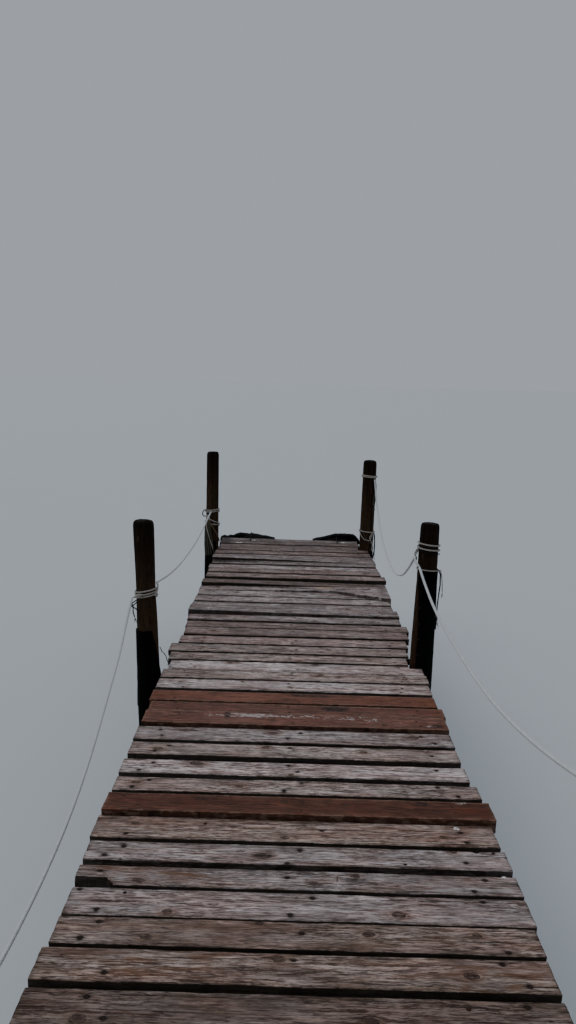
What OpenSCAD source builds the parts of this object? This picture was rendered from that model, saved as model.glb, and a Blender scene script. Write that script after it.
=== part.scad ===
// Wooden lake jetty in three bays: round posts in pairs, a bearer let into each pair, three lines of
// stringers, loose-laid deck boards, hand ropes lashed to the posts and two hanging fenders.
// X runs across the deck, Y towards the lake end and Z up from the feet of the posts.

/* [Layout] */
// Distance between one pair of posts and the next
bay = 2900; // [2500:50:3300]
// Height of the deck boards' tops above the feet of the posts
deck_h = 950; // [800:10:1200]
// Width of the deck over the ends of the boards
deck_w = 1340; // [1280:10:1400]
// Deck beyond the last pair of posts, at the lake end
lake_overhang = 340; // [300:10:450]
// Deck beyond the first pair of posts, at the shore end
shore_overhang = 220; // [200:10:350]

/* [Posts] */
// Diameter of a post at its foot
post_foot_d = 130; // [124:1:140]
// Diameter of a post where its worn top begins
post_top_d = 110; // [104:1:116]
// Height of the rounded, worn top of a post
post_crown = 35; // [20:1:50]
// Distance of the flat that seats the bearer from the middle of a post
seat_y = 42; // [38:1:46]

/* [Frame] */
// Height of a bearer
bearer_h = 150; // [120:5:180]
// Thickness of a bearer
bearer_t = 70; // [50:2:90]
// How far a bearer runs past the middle of its posts
bearer_tail = 70; // [66:2:160]
// Height of a stringer
stringer_h = 120; // [100:5:150]
// Thickness of a stringer
stringer_t = 70; // [50:1:90]
// Distance of the outer stringers' middles from the edges of the deck
stringer_in = 130; // [125:5:190]
// Gap where two lengths of a stringer meet over a bearer
butt_gap = 4; // [2:1:8]

/* [Boards] */
// Thickness of an ordinary deck board
board_t = 35; // [28:1:45]
// Least width of the closing board at the shore end
closing_w = 60; // [40:5:80]
// Room left round a post where a board is cut to pass it
notch_room = 10; // [6:1:16]

/* [Sleeves] */
// Thickness of the rubber sleeves on the outer sides of the posts
sleeve_t = 5; // [3:0.5:7]
// How far round its post a sleeve reaches, in degrees
sleeve_wrap = 250; // [160:10:280]
// Height of the sleeves' lower edges above the feet of the posts
sleeve_low = 480; // [300:10:600]
// Room left round a bearer where a sleeve is cut out to pass it
sleeve_room = 6; // [4:1:20]

/* [Ropes] */
// Diameter of the hand ropes
rope_d = 14; // [10:1:16]
// Diameter of the line that the fenders hang by
hanger_d = 10; // [8:1:12]
// Width of the knot that ends a rope
knot_d = 34; // [28:1:44]
// Length of the knot that ends a rope
knot_l = 42; // [40:1:50]

/* [Fenders] */
// Outer diameter of a fender
fender_d = 640; // [580:10:680]
// Diameter of the opening inside its beads
fender_hole_d = 370; // [330:10:400]
// Width of a fender across its tread
fender_w = 170; // [150:5:200]
// Thickness of the carcass under the tread
carcass_t = 14; // [10:1:18]
// Thickness of the side walls
wall_t = 9; // [7:1:12]
// Radius of the shoulder between tread and side wall
shoulder_r = 38; // [30:1:44]
// Radius of the beads round the opening
bead_r = 11; // [9:1:14]
// How far the beads stand back from the outer faces of the side walls
bead_inset = 1; // [0.5:0.5:3]
// Width of each groove in the tread
groove_w = 9; // [6:1:12]
// Depth of the grooves in the tread
groove_depth = 6; // [4:1:8]
// Distance from one groove to the next
groove_pitch = 34; // [28:1:38]
// Height of a fender's top above the deck
fender_rise = 25; // [15:5:60]
// Distance of each fender from the middle of the deck
fender_x = 400; // [360:5:440]

/* [Hidden] */
BENTS = 4;
SIDES = [-1, 1];
fit = 0.3;
round_fn = 48;
rope_fn = 16;
tube_sides = 8;
// Distance between the turns of a lashing, in rope diameters
turn_pitch = 0.9;
// A knot stands against the lashing that is no further from it than this
wrap_reach = 60;
far = 400;

deck_len = (BENTS - 1) * bay + lake_overhang + shore_overhang;
// The fenders reach past the deck, so the deck sits back by half of that from the middle of the jetty.
fender_reach = fender_w + fit;
lake_end = (deck_len - fender_reach) / 2;
stringer_top = deck_h - board_t;
bearer_top = stringer_top - stringer_h;
stringer_x = deck_w / 2 - stringer_in;

// Posts from the shore to the lake: how far outside the edge of the deck the middle of each stands
// at deck level, height above the deck, and lean outwards in degrees.
LEFT_POSTS = [[72, 800, 0.6], [70, 820, 0.2], [114, 748, 2.1], [62, 840, 0.2]];
RIGHT_POSTS = [[68, 775, 0.4], [62, 830, 0.5], [8, 780, 0.6], [-26, 804, 0.3]];

// Heights above the deck to which the sleeves on the same posts reach.
LEFT_SLEEVES = [150, 50, 156, 45];
RIGHT_SLEEVES = [180, 140, 530, 50];

// Lashings on the same posts: height above the deck, and turns of rope.
LEFT_LASHINGS = [[[325, 3]], [[84, 3]], [[352, 3]], [[319, 2], [206, 1]]];
RIGHT_LASHINGS = [[[635, 3]], [[712, 3]], [[640, 2], [560, 4]], [[664, 3], [166, 2]]];

// Deck boards in the order in which they are met from the lake end: width, gap to the next board,
// and how far the left and the right end pass the edge of the deck. Past its last row the list
// starts again from the top, with left and right changed over.
BOARDS = [
    [120, 15, 0, -80], [115, 15, 5, -75], [125, 10, -5, -10], [120, 15, 0, -15],
    [125, 10, 10, -10], [115, 15, 0, 0], [125, 5, 5, 5], [120, 15, -5, -5],
    [120, 10, 10, 0], [125, 10, 0, 5], [130, 10, 0, 30], [125, 10, 0, 0],
    [135, 5, 0, 0], [110, 10, 5, -5], [135, 10, 0, -10], [130, 10, 5, -15],
    [150, 10, 10, -15], [135, 5, 5, 0], [120, 15, -5, -5], [110, 15, -10, 25],
    [135, 15, -20, 5], [125, 25, -10, -20], [125, 25, 25, -40], [110, 10, 5, -30],
    [130, 10, -15, 5], [115, 10, 5, 10], [125, 20, 5, 0], [125, 10, 10, 0],
    [105, 5, -5, 15], [130, 30, 0, 5], [125, 25, 5, 0], [115, 35, 0, -5],
    [120, 30, 5, 0], [95, 35, 0, 15], [125, 10, 0, 25], [130, 20, 5, 5],
    [110, 25, -5, 10], [95, 10, -5, 10], [125, 5, -10, 10], [115, 5, -10, 0],
    [120, 25, 0, -5], [120, 10, 0, -5]
];
// Most that an end may stand back or out where the list is used again
reused_end = 15;
// How much thicker than the ordinary board each one is, used over and over
THICKNESS_STEPS = [0, 2, -1, 3, 1, -2, 0, 4, -1, 2, -3];

missing_board = 11;
broken_board = 37;
// Boards laid new among the old ones
NEW_BOARDS = [27, 28, 29, 34];
// Thicker boards from another job: place in the order, thickness at the left and at the right end
THICK_BOARDS = [[6, 60, 36], [12, 60, 48], [17, 63, 50], [34, 50, 50]];

// The ripped board lies askew: from the middle of the deck on, its shore side runs off at a slant
// over the two boards beside it, which are cut back to the same line.
ripped_board = 13;
CUT_BACK = [14, 15];
rip_from_x = 280;
rip_to_y = 200;
ripped_end_t = 58;

// Corner that has split off the broken board: how far along the board it reaches, and how wide it is.
// The split runs straight along the grain and ends in a splintered slant.
break_l = 114;
break_w = 50;

// Routes of the hand ropes, post to post: distance outside the edge of the deck, place along it, and
// height above the boards.
ROPE_LEFT_1 = [
    [95, -1705, 86], [116, -1880, 35], [124, -2110, -10], [126, -2350, -45], [128, -2590, -65],
    [128, -2830, -70], [128, -3070, -60], [128, -3310, -35], [126, -3550, 5], [124, -3790, 60],
    [120, -4010, 130], [112, -4210, 215], [98, -4395, 315]
];
ROPE_LEFT_2 = [
    [180, 1205, 352], [186, 1090, 258], [178, 900, 172], [170, 650, 88], [162, 400, 12],
    [154, 150, -52], [146, -120, -95], [140, -390, -112], [135, -650, -108], [130, -890, -88],
    [124, -1110, -48], [114, -1310, 8], [98, -1495, 78]
];
ROPE_LEFT_3 = [
    [88, 1402, 384], [81, 1530, 368], [76, 1710, 345], [73, 1910, 324], [72, 2140, 302],
    [72, 2380, 286], [72, 2640, 274], [72, 2900, 266], [72, 3160, 264], [72, 3400, 269],
    [71, 3640, 280], [69, 3870, 296], [65, 4098, 316]
];
ROPE_RIGHT_1 = [
    [66, -1702, 690], [70, -1880, 622], [74, -2110, 552], [76, -2350, 492], [77, -2590, 446],
    [77, -2830, 416], [77, -3070, 402], [77, -3310, 404], [76, -3550, 424], [75, -3790, 460],
    [74, -4010, 508], [72, -4210, 565], [70, -4398, 628]
];
ROPE_RIGHT_2 = [
    [-44, 1210, 556], [-37, 1050, 504], [-30, 830, 456], [-20, 600, 426], [-10, 360, 407],
    [-2, 110, 400], [7, -140, 404], [15, -390, 428], [23, -630, 465], [31, -860, 513],
    [38, -1080, 570], [46, -1290, 635], [54, -1498, 704]
];
ROPE_RIGHT_3 = [
    [-40, 1390, 574], [-36, 1510, 510], [-33, 1680, 428], [-25, 1880, 352], [-18, 2100, 292],
    [-12, 2340, 252], [-6, 2600, 233], [-1, 2860, 233], [5, 3110, 248], [11, 3350, 280],
    [17, 3580, 330], [22, 3790, 395], [24, 3970, 475], [22, 4075, 560], [16, 4122, 640]
];

function bent_y(k) = lake_end - lake_overhang - (BENTS - k) * bay;
function post_spec(side, k) = side < 0 ? LEFT_POSTS[k - 1] : RIGHT_POSTS[k - 1];
function post_x(side, k) = deck_w / 2 + post_spec(side, k)[0];
function lashings(side, k) = side < 0 ? LEFT_LASHINGS[k - 1] : RIGHT_LASHINGS[k - 1];
// Radius of a post at a height measured from the deck, before its worn top begins
function post_r(side, k, h) =
    let (top = deck_h + post_spec(side, k)[1] - post_crown)
    (post_foot_d + (post_top_d - post_foot_d) * (deck_h + h) / top) / 2;

// Posts

// Puts its children in the leaning frame of a post, with the origin on its middle line at deck level
module on_post(side, k) {
    spec = post_spec(side, k);
    translate([side * post_x(side, k), bent_y(k), deck_h]) rotate([0, side * spec[2], 0]) children();
}

module log_shape(side, k) {
    height = deck_h + post_spec(side, k)[1];
    crown_z = height - post_crown;
    foot_r = post_foot_d / 2;
    top_r = post_top_d / 2;
    on_post(side, k) translate([0, 0, -deck_h - far / 2])
        rotate_extrude($fn = round_fn) polygon([
            [0, 0], [foot_r, 0], [foot_r, far / 2], [top_r, crown_z + far / 2],
            [top_r * 0.94, crown_z + post_crown * 0.45 + far / 2],
            [top_r * 0.76, crown_z + post_crown * 0.85 + far / 2],
            [top_r * 0.45, height + far / 2], [0, height + far / 2]
        ]);
}

// The flat that a post is given on its lake side, where the bearer is let into it
module bearer_seat(side, k) {
    translate([side * post_x(side, k) - far / 2, bent_y(k) + seat_y, bearer_top - bearer_h])
        cube([far, far, bearer_h]);
}

module post(side, k) {
    color("#3b3630") difference() {
        log_shape(side, k);
        translate([side * post_x(side, k) - far, bent_y(k) - far, -far]) cube([2 * far, 2 * far, far]);
        bearer_seat(side, k);
    }
}

// Rubber that is wrapped round the outer side of a post, and cut out round the bearer
module sleeve(side, k) {
    low = sleeve_low - deck_h;
    top = (side < 0 ? LEFT_SLEEVES : RIGHT_SLEEVES)[k - 1];
    low_r = post_r(side, k, low) + fit;
    top_r = post_r(side, k, top) + fit;
    difference() {
        on_post(side, k) rotate([0, 0, (side < 0 ? 180 : 0) - sleeve_wrap / 2])
            rotate_extrude(angle = sleeve_wrap, $fn = round_fn)
                polygon([[low_r, low], [low_r + sleeve_t, low], [top_r + sleeve_t, top], [top_r, top]]);
        translate([side * post_x(side, k) - far / 2, bent_y(k) + seat_y - sleeve_room,
            bearer_top - bearer_h - sleeve_room]) cube([far, far, bearer_h + 2 * sleeve_room]);
    }
}

module sleeves(side) {
    color("#1e1f21") for (k = [1:BENTS]) sleeve(side, k);
}

// Frame under the deck

module bearer(k) {
    from_x = -post_x(-1, k) - bearer_tail;
    to_x = post_x(1, k) + bearer_tail;
    color("#6f6a63") translate([from_x, bent_y(k) + seat_y, bearer_top - bearer_h])
        cube([to_x - from_x, bearer_t, bearer_h]);
}

// One line of stringers: a length for each bay, butted over the middle of a bearer
module stringer(x) {
    joints = [for (k = [2:BENTS - 1]) bent_y(k) + seat_y + bearer_t / 2];
    starts = concat([lake_end - deck_len], [for (y = joints) y + butt_gap / 2]);
    ends = concat([for (y = joints) y - butt_gap / 2], [lake_end]);
    color("#77716a") for (n = [0:len(starts) - 1])
        translate([x - stringer_t / 2, starts[n], bearer_top])
            cube([stringer_t, ends[n] - starts[n], stringer_h]);
}

// Deck boards

STARTS = [for (i = 0, s = 0; s < deck_len - closing_w;
    s = s + BOARDS[i % len(BOARDS)][0] + BOARDS[i % len(BOARDS)][1], i = i + 1) s];
last_board = len(STARTS) - 1;

function row(i) = BOARDS[i % len(BOARDS)];
function first_use(i) = i < len(BOARDS);
function lake_side(i) = lake_end - STARTS[i];
function shore_side(i) = lake_end - (i == last_board ? deck_len : STARTS[i] + row(i)[0]);
function past_edge(i, side) =
    first_use(i) ? row(i)[side < 0 ? 2 : 3] : max(-reused_end, min(reused_end, row(i)[side < 0 ? 3 : 2]));
function board_end(i, side) = side * (deck_w / 2 + past_edge(i, side));
function is_in(list, i) = len(search(i, list)) > 0;
function usual_t(i) = board_t + THICKNESS_STEPS[i % len(THICKNESS_STEPS)];
function thick_row(i) = search(i, THICK_BOARDS)[0];
function end_t(i, side) =
    is_in(THICK_BOARDS, i) ? THICK_BOARDS[thick_row(i)][side < 0 ? 1 : 2]
    : i == ripped_board && side > 0 ? ripped_end_t : usual_t(i);
function is_plain(i) =
    i != missing_board && i != broken_board && i != ripped_board
    && !is_in(NEW_BOARDS, i) && !is_in(THICK_BOARDS, i);
// Bay that the middle of a board lies in, counted from the shore
function bay_of(i) =
    min(BENTS - 1, max(1, floor((lake_side(i) / 2 + shore_side(i) / 2 - bent_y(1)) / bay) + 1));

// The room that a board leaves round the posts that stand within its length
module post_notches(i) {
    for (side = SIDES, k = [1:BENTS]) {
        r = post_r(side, k, 0) + notch_room;
        inner = post_x(side, k) - r;
        near = shore_side(i) < bent_y(k) + r && lake_side(i) > bent_y(k) - r;
        if (near && inner < deck_w / 2 + past_edge(i, side))
            translate([side < 0 ? -inner - far : inner, bent_y(k) - r, stringer_top - far / 2])
                cube([far, 2 * r, far]);
    }
}

// A board of the given plan side, with its own thickness at each end
module sawn_board(i, shore = undef) {
    from_y = is_undef(shore) ? shore_side(i) : shore;
    left = board_end(i, -1);
    right = board_end(i, 1);
    translate([0, lake_side(i), stringer_top]) rotate([90, 0, 0])
        linear_extrude(lake_side(i) - from_y)
            polygon([[left, 0], [right, 0], [right, end_t(i, 1)], [left, end_t(i, -1)]]);
}

module board(i) {
    difference() {
        sawn_board(i);
        post_notches(i);
        if (is_in(CUT_BACK, i)) rip_line(row(ripped_board)[1]);
    }
}

// Plan of the slant that the ripped board covers, grown towards the shore by some room
module rip_line(room) {
    edge = shore_side(ripped_board);
    translate([0, 0, stringer_top - far / 2]) linear_extrude(far) polygon([
        [rip_from_x, edge - room],
        [deck_w, edge - room - rip_to_y * (deck_w - rip_from_x) / (deck_w / 2 - rip_from_x)],
        [deck_w, edge + far], [rip_from_x, edge + far]
    ]);
}

module boards(bay_number) {
    color("#a19c9c") for (i = [0:last_board])
        if (is_plain(i) && bay_of(i) == bay_number) board(i);
}

module new_boards() {
    color("#80604f") for (i = NEW_BOARDS) board(i);
}

module thick_boards() {
    color("#8f8b88") for (spec = THICK_BOARDS) if (!is_in(NEW_BOARDS, spec[0])) board(spec[0]);
}

module broken_board() {
    edge = shore_side(broken_board);
    left = board_end(broken_board, -1);
    color("#9b9696") difference() {
        board(broken_board);
        translate([left, edge, stringer_top - far / 2]) linear_extrude(far) polygon([
            [-far, -far], [break_l, -far], [break_l, 0], [break_l * 0.97, break_w * 0.3],
            [break_l * 0.9, break_w * 0.36], [break_l * 0.88, break_w * 0.7], [break_l * 0.8, break_w * 0.76],
            [break_l * 0.76, break_w], [break_l * 0.3, break_w * 0.94], [-far, break_w]
        ]);
    }
}

module ripped_board() {
    color("#9e999a") intersection() {
        sawn_board(ripped_board, shore_side(ripped_board) - rip_to_y);
        union() {
            translate([-deck_w, shore_side(ripped_board), stringer_top - far / 2])
                cube([2 * deck_w, far, far]);
            rip_line(0);
        }
    }
}

// Ropes

function unit(v) = v / norm(v);
function heading(path, i) =
    unit(path[min(i + 1, len(path) - 1)] - path[max(i - 1, 0)]);
// Ring of points round a point of a path that heads along t, with one side along level
function ring(p, t, level, r) =
    let (rise = cross(level, t))
    [for (j = [0:tube_sides - 1])
        p + r * (cos(360 * j / tube_sides) * level + sin(360 * j / tube_sides) * rise)];
// Faces between ring i and ring next_i
function ring_faces(i, next_i) =
    let (a = i * tube_sides, b = next_i * tube_sides)
    [for (j = [0:tube_sides - 1])
        let (next = (j + 1) % tube_sides) [a + j, a + next, b + next, b + j]];

module rope_tube(path, d) {
    n = len(path);
    points = [for (i = [0:n - 1])
        let (t = heading(path, i)) each ring(path[i], t, unit(cross(t, [0, 0, 1])), d / 2)];
    sides = [for (i = [0:n - 2]) each ring_faces(i, i + 1)];
    ends = [[for (j = [tube_sides - 1:-1:0]) j], [for (j = [0:tube_sides - 1]) (n - 1) * tube_sides + j]];
    polyhedron(points, concat(sides, ends));
}

// Line that closes on itself and lies in one plane across X
module line_loop(path, d) {
    n = len(path);
    points = [for (i = [0:n - 1])
        each ring(path[i], unit(path[(i + 1) % n] - path[(i + n - 1) % n]), [1, 0, 0], d / 2)];
    polyhedron(points, [for (i = [0:n - 1]) each ring_faces(i, (i + 1) % n)]);
}

// Direction in which a rope leaves one of its ends
function end_heading(path, first) =
    first ? unit(path[1] - path[0]) : unit(path[len(path) - 2] - path[len(path) - 1]);

// Height above the deck of the rope's end that a knot stands behind
function knot_h(knot) = knot[0][knot[1] ? 0 : len(knot[0]) - 1][2] - deck_h;

// Knot that stands behind the end of a rope and stops flush with it
module end_knot(path, first) {
    p = first ? path[0] : path[len(path) - 1];
    d = end_heading(path, first);
    translate(p) rotate([0, acos(d[2]), atan2(d[1], d[0])]) rotate([180, 0, 0])
        rotate_extrude($fn = rope_fn) polygon([
            [0, 0], [rope_d / 2, 0], [knot_d * 0.42, knot_l * 0.2], [knot_d / 2, knot_l * 0.5],
            [knot_d * 0.42, knot_l * 0.85], [knot_d * 0.2, knot_l], [0, knot_l]
        ]);
}

// Height of the lowest turn of a lashing, and the radii that its turns lie between
function lowest(wrap) = wrap[0] - (wrap[1] - 1) / 2 * rope_d * turn_pitch;
function wrap_in(side, k, wrap) = post_r(side, k, lowest(wrap) - rope_d / 2) + fit;
function wrap_out(side, k, wrap) = wrap_in(side, k, wrap) + rope_d * cos(180 / tube_sides);
function wrap_by(side, k, h) =
    [for (wrap = lashings(side, k)) if (abs(wrap[0] - h) < wrap_reach) wrap][0];

module turns(side, k, wrap) {
    r = (wrap_in(side, k, wrap) + wrap_out(side, k, wrap)) / 2;
    on_post(side, k) rotate_extrude($fn = round_fn) for (n = [0:wrap[1] - 1])
        translate([r, lowest(wrap) + n * rope_d * turn_pitch]) rotate(180 / tube_sides)
            circle(d = rope_d, $fn = tube_sides);
}

// The turns on one post, and the knots that stand against them
module lashing(side, k, knots) {
    color("#8d877c") {
        for (wrap = lashings(side, k)) turns(side, k, wrap);
        for (knot = knots) difference() {
            end_knot(knot[0], knot[1]);
            on_post(side, k) translate([0, 0, -far]) cylinder(
                r = wrap_out(side, k, wrap_by(side, k, knot_h(knot))) + fit, h = 4 * far, $fn = round_fn);
        }
    }
}

// Rope that runs over one bay, and the knots of the ropes that reach one post
function rope_path(side, b) =
    let (route = side < 0 ? [ROPE_LEFT_1, ROPE_LEFT_2, ROPE_LEFT_3][b - 1]
        : [ROPE_RIGHT_1, ROPE_RIGHT_2, ROPE_RIGHT_3][b - 1])
    [for (p = route) [side * (deck_w / 2 + p[0]), p[1], deck_h + p[2]]];
function begins_at(path, k) = abs(path[0][1] - bent_y(k)) < far;
function ends_at(path, k) = abs(path[len(path) - 1][1] - bent_y(k)) < far;
function knots_at(side, k) = concat(
    [for (b = [1:BENTS - 1]) if (begins_at(rope_path(side, b), k)) [rope_path(side, b), true]],
    [for (b = [1:BENTS - 1]) if (ends_at(rope_path(side, b), k)) [rope_path(side, b), false]]
);

module hand_rope(side, b) {
    color("#c9c6bd") rope_tube(rope_path(side, b), rope_d);
}

// Fenders

// Outline of a carcass, from the middles of its beads out to the tread
module carcass_outline(inset, side_inset) {
    half = fender_w / 2 - side_inset;
    r = shoulder_r - inset / 2;
    outer = fender_d / 2 - inset;
    inner = fender_hole_d / 2 + bead_r;
    translate([inner, -half]) square([outer - r - inner, 2 * half]);
    translate([outer - r - 1, -half + r]) square([r + 1, 2 * (half - r)]);
    for (s = SIDES) translate([outer - r, s * (half - r)]) circle(r, $fn = 32);
}

// The grooves that run round the tread
module tread_grooves() {
    for (n = [-1:1])
        translate([fender_d / 2 - groove_depth, n * groove_pitch - groove_w / 2])
            square([2 * groove_depth, groove_w]);
}

module fender(side) {
    color("#232427")
        translate([side * fender_x, lake_end + fit + fender_w / 2, deck_h + fender_rise - fender_d / 2])
            rotate([90, 0, 0]) rotate_extrude($fn = 64) {
                difference() {
                    carcass_outline(0, 0);
                    translate([-1, 0]) carcass_outline(carcass_t, wall_t);
                    tread_grooves();
                }
                for (s = SIDES)
                    translate([fender_hole_d / 2 + bead_r, s * (fender_w / 2 - bead_r - bead_inset)])
                        circle(bead_r, $fn = 24);
            }
}

// Quarter turn of a line over a shoulder of a fender, by its middle and the angle that it starts from
function over_shoulder(y, z, from) =
    let (r = (shoulder_r + hanger_d / 2 + fit) / cos(11.25))
    [for (a = [from:-22.5:from - 90]) [y, z] + r * [cos(a), sin(a)]];

// Line that goes round the end board and through a fender, which hangs from it
module fender_line(side) {
    r = hanger_d / 2 + fit;
    gap_y = lake_end - row(0)[0] - row(0)[1] / 2;
    over = stringer_top + usual_t(0) + r;
    under = deck_h + fender_rise - (fender_d - fender_hole_d) / 2 - r;
    shoulder_z = deck_h + fender_rise - shoulder_r;
    back = over_shoulder(lake_end + fit + shoulder_r, shoulder_z, 180);
    path = concat(
        [[gap_y, under], [gap_y, over]],
        [for (p = back) if (p[1] > over + 1) p],
        over_shoulder(lake_end + fender_reach - shoulder_r, shoulder_z, 90),
        [[lake_end + fender_reach + r, under]]
    );
    color("#6d6a62") line_loop([for (p = path) [side * fender_x, p[0], p[1]]], hanger_d);
}

for (k = [1:BENTS]) post(-1, k);
for (k = [1:BENTS]) post(1, k);
sleeves(-1);  // sleeves_left
sleeves(1);  // sleeves_right
for (k = [1:BENTS]) bearer(k);
stringer(-stringer_x);  // stringer_left
stringer(0);  // stringer_middle
stringer(stringer_x);  // stringer_right
boards(1);  // boards_shore
boards(2);  // boards_middle
boards(3);  // boards_lake
new_boards();
thick_boards();
broken_board();
ripped_board();
for (k = [1:BENTS]) lashing(-1, k, knots_at(-1, k));
for (k = [1:BENTS]) lashing(1, k, knots_at(1, k));
for (b = [1:BENTS - 1]) hand_rope(-1, b);
for (b = [1:BENTS - 1]) hand_rope(1, b);
fender(-1);  // fender_left
fender(1);  // fender_right
fender_line(-1);  // fender_line_left
fender_line(1);  // fender_line_right
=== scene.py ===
"""Looks of a wooden lake jetty: weathered boards on round posts, hand ropes and old tyres as fenders."""
import logging
import math
from dataclasses import dataclass, field
from enum import Enum
from typing import Optional

import bpy
import numpy as np
from mathutils import Matrix


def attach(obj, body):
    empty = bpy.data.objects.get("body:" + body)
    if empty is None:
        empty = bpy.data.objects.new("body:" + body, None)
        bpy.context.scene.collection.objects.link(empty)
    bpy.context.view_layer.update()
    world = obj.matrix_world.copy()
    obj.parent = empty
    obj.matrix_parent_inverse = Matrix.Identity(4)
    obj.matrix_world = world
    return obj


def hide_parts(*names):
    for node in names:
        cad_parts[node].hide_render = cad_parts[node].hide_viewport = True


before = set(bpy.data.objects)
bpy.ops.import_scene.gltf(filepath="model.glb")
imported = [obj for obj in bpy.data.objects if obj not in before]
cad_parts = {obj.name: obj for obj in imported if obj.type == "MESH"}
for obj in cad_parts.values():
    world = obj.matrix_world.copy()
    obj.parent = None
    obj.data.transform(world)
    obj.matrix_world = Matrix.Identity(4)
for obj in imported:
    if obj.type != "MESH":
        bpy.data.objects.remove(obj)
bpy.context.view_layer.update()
LOG = logging.getLogger("jetty")

# Sizes that the solids share, in metres; heights are above the feet of the posts
DECK_TOP = 0.95
DECK_HALF = 0.67
BEARER_TOP = 0.795
BEARER_H = 0.15
SEAT_Y = 0.042
BEARER_T = 0.07
SLEEVE_LOW = 0.48
LAKE_END = 4.54485
BENTS_Y = (-4.49515, -1.59515, 1.30485, 4.20485)
STRINGERS_X = (-0.54, 0.0, 0.54)
ROPE_D = 0.014
LINE_D = 0.010
BODY = "root"

Socket = bpy.types.NodeSocket
Colour = tuple[float, float, float]
ORIGIN = (0.0, 0.0, 0.0)


class Effect(Enum):
    """Shared shader effects, by the names of their node groups."""

    GRAIN = "Long grain"
    WEATHER = "Weathering"
    MOTTLE = "Mottle"
    LAY = "Rope fibres"


def rgba(colour: Colour) -> tuple[float, float, float, float]:
    """Colour with full opacity."""
    return (*colour, 1.0)


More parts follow.
